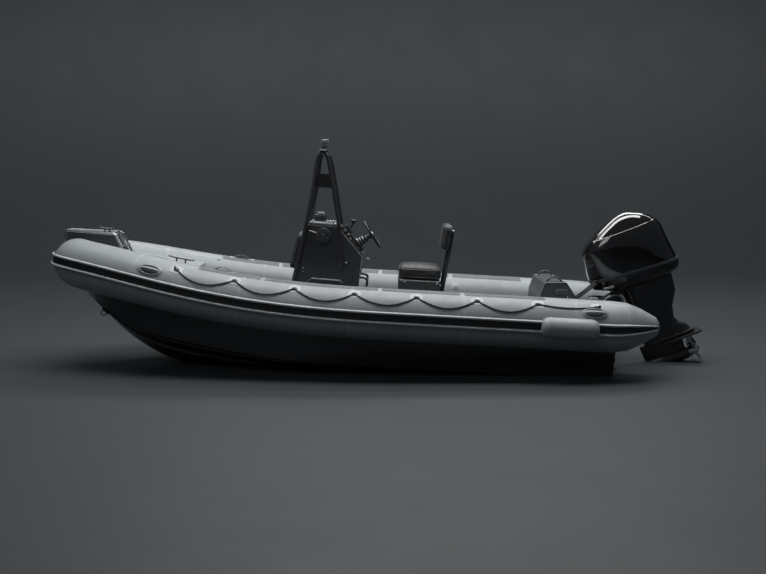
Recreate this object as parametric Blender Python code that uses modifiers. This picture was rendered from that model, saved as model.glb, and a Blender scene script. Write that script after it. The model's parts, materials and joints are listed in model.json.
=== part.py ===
"""Rigid-hulled inflatable boat: a V hull, one inflated collar, console with mast, helm seat,
stern locker and a tilting outboard.

Every piece is modelled in the boat's own frame (metres): +X aft, +Y to starboard, +Z up, with Z = 0
at the water under the middle of the boat.  All of it hangs from one empty that gives the boat the
bow-up trim it floats with, so the world's Z = 0 is the water surface.
"""
import math

import bpy
import bmesh
from mathutils import Matrix, Vector

# Attitude and clearances
TRIM = math.radians(3.2)          # bow-up trim afloat
GAP = 0.0003                      # seat clearance between pieces
SADDLE_GAP = 0.0006               # seat clearance round the collar

# Inflated collar
TUBE_R = 0.255                    # collar radius
HALF_SPAN = 0.95                  # centre line of a side tube from the boat's centre line
TUBE_Z = 0.655                    # height of the straight centre line
BOW_X = -2.873                    # centre line at the bow
BOW_START_X = 0.25                # where the sides start to curve in
BOW_RISE = 0.255                  # rise of the centre line at the bow
SHEER_START_X = 0.20              # where the rise starts
SHEER_POWER = 2.4
BOW_FULL_X = 1.22                 # superellipse powers of the bow's plan
BOW_FULL_Y = 2.3
BOW_ROLL = math.radians(8.0)      # how far the strake climbs the tube at the bow
TAIL_X = 2.58                     # where the tail cones start
SIDES = 20                        # faces round the collar
BOW_RINGS = 10
# tail cone rings: distance aft of TAIL_X, rise of the centre, share of the radius
TAIL_CONE = [(0.0, 0.0, 1.0), (0.06, 0.003, 0.985), (0.18, 0.010, 0.92), (0.32, 0.018, 0.69),
             (0.465, 0.026, 0.37), (0.49, 0.028, 0.2)]

# Rub strake
STRAKE_HALF = 0.060               # half height of the band
STRAKE_THICK = 0.012
RIDGE_OUT = 0.030                 # how far the two ridges stand out
RIDGE_Z = 0.047                   # ridge centre above and below the band's centre
RIDGE_HALF = 0.011

# Rigid hull
TRANSOM_X = 2.62                  # aft end of the hull moulding
DECK_Z = 0.32                     # top of the cockpit floor
DECK_THICK = 0.015
GUNWALE = 0.035                   # from the collar's inner side to the cockpit wall
GUNWALE_DROP = 0.055              # top of the cockpit wall below the collar's centre line
RAIL_SHARE = 0.42                 # place of the spray rail between keel and chine
RAIL_WIDTH = 0.045
CHINE_FLAT = 0.07
# hull stations: x, keel height, chine half beam, chine height
HULL_STATIONS = [
    (TRANSOM_X, -0.160, 0.86, 0.130), (0.60, -0.160, 0.86, 0.130), (-0.50, -0.158, 0.82, 0.140),
    (-1.10, -0.150, 0.72, 0.185), (-1.55, -0.130, 0.62, 0.245), (-1.90, -0.060, 0.53, 0.290),
    (-2.20, 0.085, 0.42, 0.355), (-2.45, 0.265, 0.30, 0.440), (-2.63, 0.433, 0.18, 0.520),
    (-2.77, 0.565, 0.07, 0.600)]

TRANSOM_THICK = 0.06
TRANSOM_TOP = 0.78
TRANSOM_NOTCH = 0.33              # half width of the raised middle that carries the outboard

FOREDECK_FRONT = -2.60
FOREDECK_AFT = -1.62
FOREDECK_X = [FOREDECK_FRONT, -2.45, -2.20, -1.90, FOREDECK_AFT]
FOREDECK_DROP = 0.088             # below the collar's top

# Lifelines, handles, fenders
ROPE_R = 0.0065
EYE_X = [-1.686, -1.096, -0.498, 0.090, 0.677, 1.263, 1.851, 2.425]
EYE_ANGLE = 52.0                  # round the collar, from outboard up
SWAG_ANGLE = 28.0                 # lowest point of a swag
LAST_SWAG_ANGLE = 45.0            # the last one clears the stern handle
ROPE_LIFT = ROPE_R + 0.0011       # rope's centre above the fabric
EYE_R = 0.0145
EYE_WIRE = 0.0040
ROPE_END = 0.030                  # rope left past its last eye
ROPE_RESOLUTION = 1
HANDLE_LENGTH = 0.24
HANDLE_HEIGHT = 0.11
HANDLES = [("bow", -1.93, 36.0), ("stern", 2.40, 36.0)]   # name, x, angle
FENDER_X = (1.88, 2.44)
FENDER_R = 0.100
STRAP_X = -1.28
STRAP_ANGLE = 96.0
STRAP_REACH = 0.09                # half length of the arch
STRAP_THICK = 0.004
# share of STRAP_REACH, height above the fabric
STRAP_ARCH = [(-1.25, -0.001), (-0.95, 0.001), (-0.75, 0.014), (-0.4, 0.032), (0, 0.038),
              (0.4, 0.032), (0.75, 0.014), (0.95, 0.001), (1.25, -0.001)]

# Bow step
STEP_FRONT_X = BOW_X - 0.142
STEP_BEND_X = STEP_FRONT_X + 0.540
STEP_AFT_X = STEP_BEND_X + 0.110
STEP_TOP = TUBE_Z + BOW_RISE + TUBE_R + 0.080
STEP_SLOPE = 0.006                # drop of the top from front to back
STEP_FRONT_HALF = 0.060
STEP_AFT_HALF = 0.165
STEP_RAIL_R = 0.012

# Console, mast, seat, locker
CONSOLE_HALF = 0.31
CONSOLE = [(-0.575, 0.0), (-0.588, 0.841), (-0.456, 1.462), (-0.156, 1.458), (0.118, 1.152),
           (0.095, 0.868), (0.08, 0.0)]
MAST_TUBE_R = 0.021
MAST_KNEE_Z = 1.475               # where the hoops start to lean together
MAST_TOP_Y = 0.25
MAST_TOP_Z = 2.20
WHEEL_CENTRE = (0.210, 0.0, 1.3735)
WHEEL_R = 0.166
WHEEL_RAKE = math.radians(35)     # shaft above the horizontal, pointing aft
SEAT_X = (0.51, 0.99)
SEAT_HALF = 0.24
SEAT_TOP = 1.078
CUSHION_THICK = 0.140
LOCKER_HALF = 0.42
LOCKER_X = TRANSOM_X - 0.69
# side outlines: x, height (0 stands for the deck); the locker's x is from LOCKER_X
LOCKER = [(0.0, 0.0), (0.036, 0.85), (0.082, 1.003), (0.302, 1.015), (0.416, 0.866), (0.47, 0.0)]

# Outboard
TILT_X = TRANSOM_X + 0.10         # tilt tube
TILT_Z = TRANSOM_TOP + 0.02
TILT = math.radians(24.0)         # tilted up as it is parked
STEER_A = 0.13                    # steering pin aft of the tilt tube
PROP_N = -0.837                   # propeller shaft below the tilt tube
PROP_R = 0.172
ARM_Y = 0.115                     # inner faces of the clamp arms
ARM_THICK = 0.03
TUBE_PIN_R = 0.018
STEER_PIN_R = 0.026
BORE_CLEAR = 0.0005
TOP_PIN = (0.040, -0.068)         # ram's pin on the swivel bracket, in the tilting frame
EYE_CLEAR = 0.012                 # the rod's eye is open round its pin
RAM_PIN_R = 0.008
# cowl levels: height, front, aft, half width
COWL = [(0.158, -0.070, 0.885, 0.235), (0.29, -0.078, 0.862, 0.252), (0.425, -0.070, 0.845, 0.256),
        (0.55, -0.060, 0.834, 0.252), (0.62, 0.000, 0.815, 0.240), (0.70, 0.115, 0.760, 0.215),
        (0.765, 0.240, 0.675, 0.178), (0.81, 0.355, 0.575, 0.125), (0.828, 0.430, 0.530, 0.070)]
# Blender helpers


for old in list(bpy.data.objects):
    bpy.data.objects.remove(old, do_unlink=True)

BOAT = bpy.data.collections.new("rib_boat")
CUTTERS = bpy.data.collections.new("cutters")
for group in (BOAT, CUTTERS):
    bpy.context.scene.collection.children.link(group)


def material(name, colour, roughness, metallic=0.0):
    mat = bpy.data.materials.new(name)
    mat.use_nodes = True
    shader = mat.node_tree.nodes["Principled BSDF"]
    shader.inputs["Base Color"].default_value = (*colour, 1.0)
    shader.inputs["Roughness"].default_value = roughness
    shader.inputs["Metallic"].default_value = metallic
    mat.diffuse_color = (*colour, 1.0)
    return mat


MAT = {
    "collar": material("collar_fabric", (0.22, 0.23, 0.24), 0.50),
    "rubber": material("black_rubber", (0.02, 0.02, 0.022), 0.60),
    "hull": material("hull_gelcoat", (0.012, 0.013, 0.015), 0.25),
    "deck": material("deck", (0.06, 0.062, 0.065), 0.80),
    "moulding": material("console_moulding", (0.030, 0.032, 0.035), 0.45),
    "rope": material("rope", (0.015, 0.015, 0.016), 0.85),
    "rail": material("black_rail", (0.03, 0.03, 0.032), 0.35, 0.6),
    "steel": material("stainless", (0.55, 0.56, 0.57), 0.25, 1.0),
    "cushion": material("cushion", (0.02, 0.02, 0.022), 0.65),
    "cowl": material("cowl_gloss", (0.008, 0.008, 0.009), 0.12),
    "leg": material("outboard_matt", (0.018, 0.018, 0.020), 0.45),
    "lamp": material("lamp", (0.30, 0.31, 0.32), 0.30),
    "webbing": material("webbing", (0.03, 0.03, 0.03), 0.80),
}


def empty(name, at, parent=None, tilt=0.0):
    ob = bpy.data.objects.new(name, None)
    BOAT.objects.link(ob)
    ob.parent = parent
    ob.location = at
    ob.rotation_euler = (0.0, tilt, 0.0)
    return ob


# +Y rotation lifts the bow, because the bow is at -X
BOAT_FRAME = empty("trim", (0, 0, 0), tilt=TRIM)
TILT_AXIS = empty("tilt_axis", (TILT_X, 0, TILT_Z), BOAT_FRAME, -TILT)
STEER_AXIS = empty("steer_axis", (STEER_A, 0, 0), TILT_AXIS)
PROP_AXIS = empty("prop_axis", (0, 0, PROP_N), STEER_AXIS)
WHEEL_AXIS = empty("wheel_axis", WHEEL_CENTRE, BOAT_FRAME, -WHEEL_RAKE)


def link(ob, parent=BOAT_FRAME, mat=None, group=BOAT):
    group.objects.link(ob)
    ob.parent = parent
    if mat:
        finish(ob, mat)
    return ob


def face_out(bm):
    bmesh.ops.recalc_face_normals(bm, faces=bm.faces)
    if bm.calc_volume(signed=True) < 0:
        bmesh.ops.reverse_faces(bm, faces=bm.faces)


def from_bmesh(name, bm, parent=BOAT_FRAME, mat=None):
    face_out(bm)
    mesh = bpy.data.meshes.new(name)
    bm.to_mesh(mesh)
    bm.free()
    return link(bpy.data.objects.new(name, mesh), parent, mat)


def finish(ob, mat):
    ob.data.materials.clear()
    ob.data.materials.append(MAT[mat])
    return ob


def bake(ob):
    """Replaces an object's mesh by its evaluated one and drops the modifiers."""
    bpy.context.view_layer.update()
    graph = bpy.context.evaluated_depsgraph_get()
    mesh = bpy.data.meshes.new_from_object(ob.evaluated_get(graph))
    ob.modifiers.clear()
    ob.data = mesh
    return ob


def smooth(ob, angle=35):
    ob.data.shade_smooth()
    ob.data.set_sharp_from_angle(angle=math.radians(angle))
    return ob


def boolean(ob, other, operation, keep=False):
    mod = ob.modifiers.new(operation.lower(), "BOOLEAN")
    mod.operation = operation
    mod.solver = "EXACT"
    mod.object = other
    bake(ob)
    if not keep:
        bpy.data.objects.remove(other, do_unlink=True)
    return ob


def fuse(ob, *others):
    for other in others:
        boolean(ob, other, "UNION")
    return ob


def cut(ob, *others, keep=False):
    for other in others:
        boolean(ob, other, "DIFFERENCE", keep)
    return ob


def seat_on(ob, carrier, lift=(0.0, 0.0, GAP)):
    """Cuts a piece to the face of the one that carries it, `lift` away from it."""
    copy = bpy.data.objects.new(carrier.name + "_seat", carrier.data.copy())
    link(copy, carrier.parent, group=CUTTERS)
    copy.matrix_local = Matrix.Translation(lift) @ carrier.matrix_local
    cut(ob, copy)
    return cut(ob, carrier, keep=True)


def bevel(ob, width, segments=1, angle=40):
    mod = ob.modifiers.new("bevel", "BEVEL")
    mod.width = width
    mod.segments = segments
    mod.limit_method = "ANGLE"
    mod.angle_limit = math.radians(angle)
    return bake(ob)


def box(name, low, high, parent=BOAT_FRAME, mat=None):
    bm = bmesh.new()
    bmesh.ops.create_cube(bm, size=1.0)
    low, high = Vector(low), Vector(high)
    size = high - low
    centre = (low + high) / 2
    for v in bm.verts:
        v.co = Vector((v.co.x * size.x, v.co.y * size.y, v.co.z * size.z))
    ob = from_bmesh(name, bm, parent, mat)
    ob.location = centre
    return ob


AXES = {"X": Matrix.Rotation(math.pi / 2, 4, "Y"), "Y": Matrix.Rotation(-math.pi / 2, 4, "X"),
        "Z": Matrix.Identity(4)}


def cylinder(name, radius, length, at, axis="Z", sides=16, parent=BOAT_FRAME, mat=None, top=None):
    """A cylinder or cone centred on `at`; `top` is the radius at the far end of the axis."""
    bm = bmesh.new()
    bmesh.ops.create_cone(bm, cap_ends=True, segments=sides, radius1=radius,
                          radius2=radius if top is None else top, depth=length)
    if isinstance(axis, str):
        direction = AXES[axis]
    else:
        direction = Vector(axis).to_track_quat("Z", "Y").to_matrix().to_4x4()
    bmesh.ops.transform(bm, matrix=direction, verts=bm.verts)
    ob = from_bmesh(name, bm, parent, mat)
    ob.location = at
    return smooth(ob)


def turned(name, profile, sides=24, axis="Z", parent=BOAT_FRAME, mat=None):
    """A profile of (distance along the axis, radius) turned into a closed solid."""
    bm = bmesh.new()
    ends = [(profile[0][0], 0.0)] + list(profile) + [(profile[-1][0], 0.0)]
    line = [bm.verts.new((radius, 0.0, along)) for along, radius in ends]
    for a, b in zip(line, line[1:]):
        bm.edges.new((a, b))
    mesh = bpy.data.meshes.new(name)
    bm.to_mesh(mesh)
    bm.free()
    ob = link(bpy.data.objects.new(name, mesh), parent)
    screw = ob.modifiers.new("turn", "SCREW")
    screw.steps = sides
    screw.render_steps = sides
    screw.use_merge_vertices = True
    screw.merge_threshold = 0.00001
    bake(ob)
    bm = bmesh.new()
    bm.from_mesh(ob.data)
    bmesh.ops.remove_doubles(bm, verts=bm.verts, dist=0.00001)
    bmesh.ops.transform(bm, matrix=AXES[axis], verts=bm.verts)
    face_out(bm)
    bm.to_mesh(ob.data)
    bm.free()
    if mat:
        finish(ob, mat)
    return smooth(ob)


def rod(name, start, end, radius, sides=12, parent=BOAT_FRAME, mat=None):
    start, end = Vector(start), Vector(end)
    return cylinder(name, radius, (end - start).length, (start + end) / 2, end - start, sides, parent, mat)


def tube(name, points, radius, resolution=2, cyclic=False, parent=BOAT_FRAME, mat=None):
    """A round tube along a polyline, as one closed mesh."""
    curve = bpy.data.curves.new(name, "CURVE")
    curve.dimensions = "3D"
    curve.bevel_depth = radius
    curve.bevel_resolution = resolution
    curve.use_fill_caps = not cyclic
    spline = curve.splines.new("POLY")
    spline.points.add(len(points) - 1)
    for p, co in zip(spline.points, points):
        p.co = (*co, 1.0)
    spline.use_cyclic_u = cyclic
    return smooth(curve_to_mesh(name, curve, parent, mat))


def curve_to_mesh(name, curve, parent, mat):
    guide = bpy.data.objects.new(name + "_curve", curve)
    link(guide, parent)
    bpy.context.view_layer.update()
    graph = bpy.context.evaluated_depsgraph_get()
    mesh = bpy.data.meshes.new_from_object(guide.evaluated_get(graph))
    bpy.data.objects.remove(guide, do_unlink=True)
    bm = bmesh.new()
    bm.from_mesh(mesh)
    bmesh.ops.remove_doubles(bm, verts=bm.verts, dist=0.00001)
    return from_bmesh(name, bm, parent, mat)


PLANES = {"XY": Matrix.Identity(3), "XZ": Matrix(((1, 0, 0), (0, 0, -1), (0, 1, 0))),
          "YZ": Matrix(((0, 0, 1), (1, 0, 0), (0, 1, 0)))}


def outline(name, points, low, high, plane="XZ", parent=BOAT_FRAME, mat=None):
    """A flat outline extruded across its plane, from `low` to `high`."""
    curve = bpy.data.curves.new(name, "CURVE")
    curve.dimensions = "2D"
    curve.fill_mode = "BOTH"
    curve.extrude = (high - low) / 2
    spline = curve.splines.new("POLY")
    spline.points.add(len(points) - 1)
    for p, (x, y) in zip(spline.points, points):
        p.co = (x, y, 0.0, 1.0)
    spline.use_cyclic_u = True
    ob = curve_to_mesh(name, curve, parent, mat)
    frame = PLANES[plane]
    centre = frame @ Vector((0, 0, (high + low) / 2 * (-1 if plane == "XZ" else 1)))
    ob.data.transform(frame.to_4x4())
    ob.location = centre
    return ob


def loft(name, rings, cap_first=True, cap_last=True, mirror=False, parent=BOAT_FRAME, mat=None, closed=True):
    """A skin through rings of equal length; `mirror` completes a half that is open at Y = 0."""
    bm = bmesh.new()
    rows = [[bm.verts.new(p) for p in ring] for ring in rings]
    count = len(rings[0])
    for a, b in zip(rows, rows[1:]):
        for k in range(count if closed else count - 1):
            m = (k + 1) % count
            bm.faces.new((a[k], a[m], b[m]))
            bm.faces.new((a[k], b[m], b[k]))
    if cap_first:
        bm.faces.new(rows[0])
    if cap_last:
        bm.faces.new(rows[-1])
    ob = from_bmesh(name, bm, parent, mat)
    if mirror:
        mod = ob.modifiers.new("mirror", "MIRROR")
        mod.use_axis = (False, True, False)
        mod.merge_threshold = 0.00005
        bake(ob)
        bm = bmesh.new()
        bm.from_mesh(ob.data)
        face_out(bm)
        bm.to_mesh(ob.data)
        bm.free()
    return smooth(ob)


# Collar geometry


def sheer_z(x):
    """Height of the centre line: it climbs towards the bow and levels off at the nose."""
    rise = max(0.0, (SHEER_START_X - x) / (SHEER_START_X - BOW_X))
    return TUBE_Z + BOW_RISE * rise ** SHEER_POWER * (1.5 - 0.5 * rise ** 4)


def half_span(x):
    share = min(1.0, max(0.0, (BOW_START_X - x) / (BOW_START_X - BOW_X)))
    return HALF_SPAN * (1.0 - share ** BOW_FULL_X) ** (1.0 / BOW_FULL_Y)


def collar_path():
    """Centre points and radii from the port tail tip forward to the bow."""
    path = [(Vector((TAIL_X + dx, -HALF_SPAN, TUBE_Z + dz)), TUBE_R * share)
            for dx, dz, share in reversed(TAIL_CONE)]
    path.append((Vector(((TAIL_X + BOW_START_X) / 2, -HALF_SPAN, TUBE_Z)), TUBE_R))
    for k in range(BOW_RINGS + 1):
        turn = math.pi / 2 * k / BOW_RINGS
        x = BOW_START_X - (BOW_START_X - BOW_X) * math.sin(turn)
        path.append((Vector((x, -half_span(x), sheer_z(x))), TUBE_R))
    return path


def ring_frames(roll=0.0):
    """Each collar ring's centre, radius, outboard and upward directions, turned up by `roll` at the bow."""
    path = collar_path()
    frames = []
    for k, (centre, radius) in enumerate(path):
        before = path[max(0, k - 1)][0]
        after = path[min(len(path) - 1, k + 1)][0]
        ahead = Vector((0, 1, 0)) if k == len(path) - 1 else (after - before).normalized()
        out = Vector((0, 0, 1)).cross(ahead).normalized()
        share = max(0.0, (SHEER_START_X - centre.x) / (SHEER_START_X - BOW_X))
        out = Matrix.Rotation(roll * share ** 2, 3, ahead) @ out
        frames.append((centre, radius, out, ahead.cross(out)))
    return frames


def collar_point(x, side, angle, lift=0.0):
    """A point on the collar at x, `angle` degrees up from outboard, `lift` off the surface."""
    frames = ring_frames()
    for near, far in zip(frames, frames[1:]):
        if far[0].x <= x <= near[0].x:
            break
    share = (near[0].x - x) / (near[0].x - far[0].x)
    turn = math.radians(angle)
    ends = []
    for centre, radius, out, up in (near, far):
        normal = out * math.cos(turn) + up * math.sin(turn)
        ends.append((centre + normal * (radius + lift), normal))
    point = ends[0][0].lerp(ends[1][0], share)
    normal = ends[0][1].lerp(ends[1][1], share).normalized()
    ahead = (far[0] - near[0]).normalized()
    if side > 0:
        point.y, normal.y, ahead.y = -point.y, -normal.y, -ahead.y
    return point, normal, ahead


def collar_solid(name, extra=0.0, mat=None):
    rings = []
    for centre, radius, out, up in ring_frames(BOW_ROLL):
        turns = [math.radians(360.0 * (k + 0.5) / SIDES) for k in range(SIDES)]
        rings.append([centre + (out * math.cos(t) + up * math.sin(t)) * (radius + extra) for t in turns])
    return loft(name, rings, cap_last=False, mirror=True, mat=mat)


SADDLE = collar_solid("saddle_cutter", SADDLE_GAP)
BOAT.objects.unlink(SADDLE)
CUTTERS.objects.link(SADDLE)
SADDLE.hide_render = True
SADDLE.display_type = "WIRE"


def on_saddle(ob):
    """Cuts a piece to the collar's surface."""
    return cut(ob, SADDLE, keep=True)


# Collar, strake, fittings
EYE_TURNS = 8
EYE_SIDES = 5


def ring_eye(centre, axis, first):
    """A wire ring round `centre`, its hole along `axis`."""
    second = axis.cross(first).normalized()
    bm = bmesh.new()
    rows = []
    for k in range(EYE_TURNS):
        turn = 2 * math.pi * k / EYE_TURNS
        radial = first * math.cos(turn) + second * math.sin(turn)
        row = []
        for m in range(EYE_SIDES):
            around = 2 * math.pi * m / EYE_SIDES
            at = centre + radial * (EYE_R + EYE_WIRE * math.cos(around)) + axis * EYE_WIRE * math.sin(around)
            row.append(bm.verts.new(at))
        rows.append(row)
    for k in range(EYE_TURNS):
        ahead = rows[(k + 1) % EYE_TURNS]
        for m in range(EYE_SIDES):
            n = (m + 1) % EYE_SIDES
            bm.faces.new((rows[k][m], rows[k][n], ahead[n], ahead[m]))
    return from_bmesh("eye", bm)


collar = collar_solid("tube_collar", mat="collar")
for side in (-1, 1):
    for x in EYE_X:
        at, normal, ahead = collar_point(x, side, EYE_ANGLE, ROPE_LIFT)
        fuse(collar, ring_eye(at, ahead, normal))
smooth(collar)


def strake_profile():
    """The band's section as (out, up) from the collar's centre, for the full radius."""
    facet = math.radians(180.0 / SIDES)
    flat = TUBE_R * math.cos(facet) + SADDLE_GAP
    corner = flat * math.tan(facet)
    edge_angle = math.asin(STRAKE_HALF / TUBE_R)
    edge = flat / math.cos(edge_angle - 2 * facet)
    inner = [(edge * math.cos(edge_angle), edge * math.sin(edge_angle)), (flat, corner)]
    inner += [(x, -z) for x, z in reversed(inner)]
    face = TUBE_R + STRAKE_THICK
    outer = []
    for z in (-RIDGE_Z, RIDGE_Z):
        outer += [(face, z - RIDGE_HALF - 0.004), (TUBE_R + RIDGE_OUT, z - RIDGE_HALF + 0.003),
                  (TUBE_R + RIDGE_OUT, z + RIDGE_HALF - 0.003), (face, z + RIDGE_HALF + 0.004)]
    return list(reversed(inner + outer))


rings = []
for centre, radius, out, up in ring_frames(BOW_ROLL)[1:]:
    share = radius / TUBE_R
    rings.append([centre + (out * x + up * z) * share for x, z in strake_profile()])
strake = loft("rub_strake", rings, cap_last=False, mirror=True, mat="rubber")

for side, word in ((-1, "port"), (1, "starboard")):
    # lifeline: swags between the eyes, lying on the collar
    points = []
    for a, b in zip(EYE_X, EYE_X[1:]):
        low = LAST_SWAG_ANGLE if b == EYE_X[-1] else SWAG_ANGLE
        for k in range(9):
            s = k / 9
            angle = EYE_ANGLE - (EYE_ANGLE - low) * (1 - (2 * s - 1) ** 2)
            points.append(collar_point(a + (b - a) * s, side, angle, ROPE_LIFT)[0])
    points.append(collar_point(EYE_X[-1], side, EYE_ANGLE, ROPE_LIFT)[0])
    first = points[0] + (points[0] - points[1]).normalized() * ROPE_END
    last = points[-1] + (points[-1] - points[-2]).normalized() * ROPE_END
    tube("lifeline_" + word, [first] + points + [last], ROPE_R, ROPE_RESOLUTION, mat="rope")

    # lift handles: an oval pad with a grip bar across its recess
    for end, x, angle in HANDLES:
        at, normal, ahead = collar_point(x, side, angle)
        frame = Matrix((ahead, normal.cross(ahead).normalized(), normal)).transposed().to_4x4()
        pad = cylinder("pad", 0.5, 0.09, (0, 0, 0), "Z", 24)
        pad.data.transform(Matrix.Translation(at - normal * 0.024) @ frame
                           @ Matrix.Diagonal((HANDLE_LENGTH, HANDLE_HEIGHT, 1.0, 1.0)))
        pad.name = f"lift_handle_{end}_{word}"
        recess = cylinder("recess", 0.5, 0.04, (0, 0, 0), "Z", 16)
        recess.data.transform(Matrix.Translation(at + normal * 0.0285) @ frame
                              @ Matrix.Diagonal((HANDLE_LENGTH * 0.62, HANDLE_HEIGHT * 0.5, 1.0, 1.0)))
        cut(pad, recess)
        on_saddle(pad)
        half = HANDLE_LENGTH * 0.36
        grip = [at + ahead * s * half + normal * h for s, h in
                ((-1, 0.012), (-0.8, 0.030), (-0.4, 0.036), (0.4, 0.036), (0.8, 0.030), (1, 0.012))]
        fuse(pad, tube("grip", grip, 0.008))
        smooth(finish(pad, "rubber"))

    # side fender: a cylinder with rounded ends, cut to the collar and over the strake
    x0, x1 = FENDER_X
    length = x1 - x0
    # distance from the end, share of the radius
    ends = [(0.0, 0.45), (0.012, 0.72), (0.035, 0.90), (0.075, 1.0)]
    profile = ends + [(length - d, share) for d, share in reversed(ends)]
    fender = turned("side_fender_" + word, [(d, FENDER_R * share) for d, share in profile], 16, "X")
    fender.location = (x0, side * (HALF_SPAN + TUBE_R + 0.012), TUBE_Z - 0.002)
    slot_y = sorted((side * (HALF_SPAN + TUBE_R - 0.045), side * (HALF_SPAN + TUBE_R + RIDGE_OUT + 0.002)))
    cut(fender, box("strake_slot", (x0 - 0.1, slot_y[0], TUBE_Z - STRAKE_HALF - 0.004),
                    (x1 + 0.1, slot_y[1], TUBE_Z + STRAKE_HALF + 0.004)))
    smooth(finish(on_saddle(fender), "collar"))

    # webbing strap on the collar's top
    at, normal, ahead = collar_point(STRAP_X, side, STRAP_ANGLE)
    across = normal.cross(ahead).normalized() * 0.019
    arch = []
    for s, h in STRAP_ARCH:
        low = at + ahead * (STRAP_REACH * s) + normal * (h - STRAP_THICK)
        high = low + normal * STRAP_THICK
        arch.append([low - across, low + across, high + across, high - across])
    on_saddle(loft("grab_strap_" + word, arch, mat="webbing"))

# Rigid hull


def hull_section(x, keel, chine_y, chine_z):
    """Half section from the keel round the bottom, the saddle side and the cockpit wall."""
    slope = (chine_z - keel) / max(chine_y, 0.001)
    width = min(RAIL_WIDTH, chine_y * 0.1)
    rail_y = chine_y * RAIL_SHARE
    flat = min(CHINE_FLAT, chine_y * 0.15)
    span, mid = half_span(x), sheer_z(x)
    side_y = max(span - 0.02, chine_y + 0.005)
    wall_y = max(span - TUBE_R - GUNWALE, 0.02)
    top = mid - GUNWALE_DROP
    floor = max(DECK_Z - DECK_THICK - GAP, keel + 0.10)
    rail_z = keel + slope * rail_y
    chine_low = keel + slope * (chine_y - flat)
    return [(x, 0.0, keel), (x, -rail_y, rail_z), (x, -rail_y - width, rail_z),
            (x, -rail_y - width, rail_z + slope * width), (x, -chine_y + flat, chine_low),
            (x, -chine_y, chine_low + 0.006), (x, -side_y, mid - TUBE_R * 0.8), (x, -side_y + 0.06, top),
            (x, -wall_y, top), (x, -wall_y, floor), (x, 0.0, floor)]


def between_stations(x, value):
    """`value` at x, taken along the straight run between the two nearest hull stations."""
    for near, far in zip(HULL_STATIONS, HULL_STATIONS[1:]):
        if far[0] <= x <= near[0]:
            break
    share = (near[0] - x) / (near[0] - far[0])
    return value(near[0]) + (value(far[0]) - value(near[0])) * share


def wall_y(x):
    return between_stations(x, lambda at: max(half_span(at) - TUBE_R - GUNWALE, 0.02))


def gunwale_z(x):
    return between_stations(x, lambda at: sheer_z(at) - GUNWALE_DROP)


def foredeck_top(x):
    return sheer_z(x) + TUBE_R - FOREDECK_DROP


rings = [hull_section(*row) for row in HULL_STATIONS]
rows = len(rings[0])
bm = bmesh.new()
grid = [[bm.verts.new(p) for p in ring] for ring in rings]
for a, b in zip(grid, grid[1:]):
    for k in range(rows - 1):
        bm.faces.new((a[k], a[k + 1], b[k + 1], b[k]))
bm.faces.new(grid[0])
bm.faces.new(grid[-1])
hull = from_bmesh("rigid_hull", bm, mat="hull")
mod = hull.modifiers.new("mirror", "MIRROR")
mod.use_axis = (False, True, False)
mod.merge_threshold = 0.00005
mod.use_mirror_merge = True
bake(hull)
bm = bmesh.new()
bm.from_mesh(hull.data)
inner = [f for f in bm.faces if all(abs(v.co.y) < 1e-5 for v in f.verts)]
bmesh.ops.delete(bm, geom=inner, context="FACES")
face_out(bm)
bm.to_mesh(hull.data)
bm.free()
on_saddle(hull)
smooth(hull, 25)

# cockpit floor
floor_x = [TRANSOM_X - 0.002, 0.60, -0.50, -1.10, -1.55, FOREDECK_AFT + 0.003]
side_points = [(x, wall_y(x) - 0.003) for x in floor_x]
outline("deck", side_points + [(x, -y) for x, y in reversed(side_points)], DECK_Z - DECK_THICK, DECK_Z, "XY",
        mat="deck")

# foredeck: a step between the tubes with a bulkhead down to the floor
bm = bmesh.new()
grid = []
for x in FOREDECK_X:
    low = gunwale_z(x) + GAP
    high = foredeck_top(x)
    reach = max(half_span(x) - 0.06, 0.05)
    grid.append([bm.verts.new((x, -reach, low)), bm.verts.new((x, reach, low)),
                 bm.verts.new((x, reach, high)), bm.verts.new((x, -reach, high))])
for a, b in zip(grid, grid[1:]):
    for k in range(4):
        bm.faces.new((a[k], a[(k + 1) % 4], b[(k + 1) % 4], b[k]))
bm.faces.new(grid[0])
bm.faces.new(grid[-1])
foredeck = from_bmesh("foredeck", bm, mat="collar")
on_saddle(foredeck)
reach = wall_y(FOREDECK_AFT) - 0.02
fuse(foredeck, box("bulkhead", (FOREDECK_AFT - 0.02, -reach, DECK_Z + GAP),
                   (FOREDECK_AFT, reach, foredeck_top(FOREDECK_AFT) - 0.01)))

# transom
keel_z = HULL_STATIONS[0][1]
half = [(0.0, keel_z), (0.86, 0.13), (0.92, 0.43), (0.80, 0.58), (0.66, 0.60), (0.64, 0.72),
        (TRANSOM_NOTCH + 0.05, 0.72), (TRANSOM_NOTCH, TRANSOM_TOP), (0.0, TRANSOM_TOP)]
transom = outline("transom", half + [(-y, z) for y, z in reversed(half[1:-1])], TRANSOM_X + GAP,
                  TRANSOM_X + GAP + TRANSOM_THICK, "YZ", mat="hull")
on_saddle(transom)

# Bow fittings
def step_half(x):
    """Half width of the step, a wedge that opens aft."""
    share = (x - STEP_FRONT_X) / (STEP_AFT_X - STEP_FRONT_X)
    return STEP_FRONT_HALF + (STEP_AFT_HALF - STEP_FRONT_HALF) * share


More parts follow.
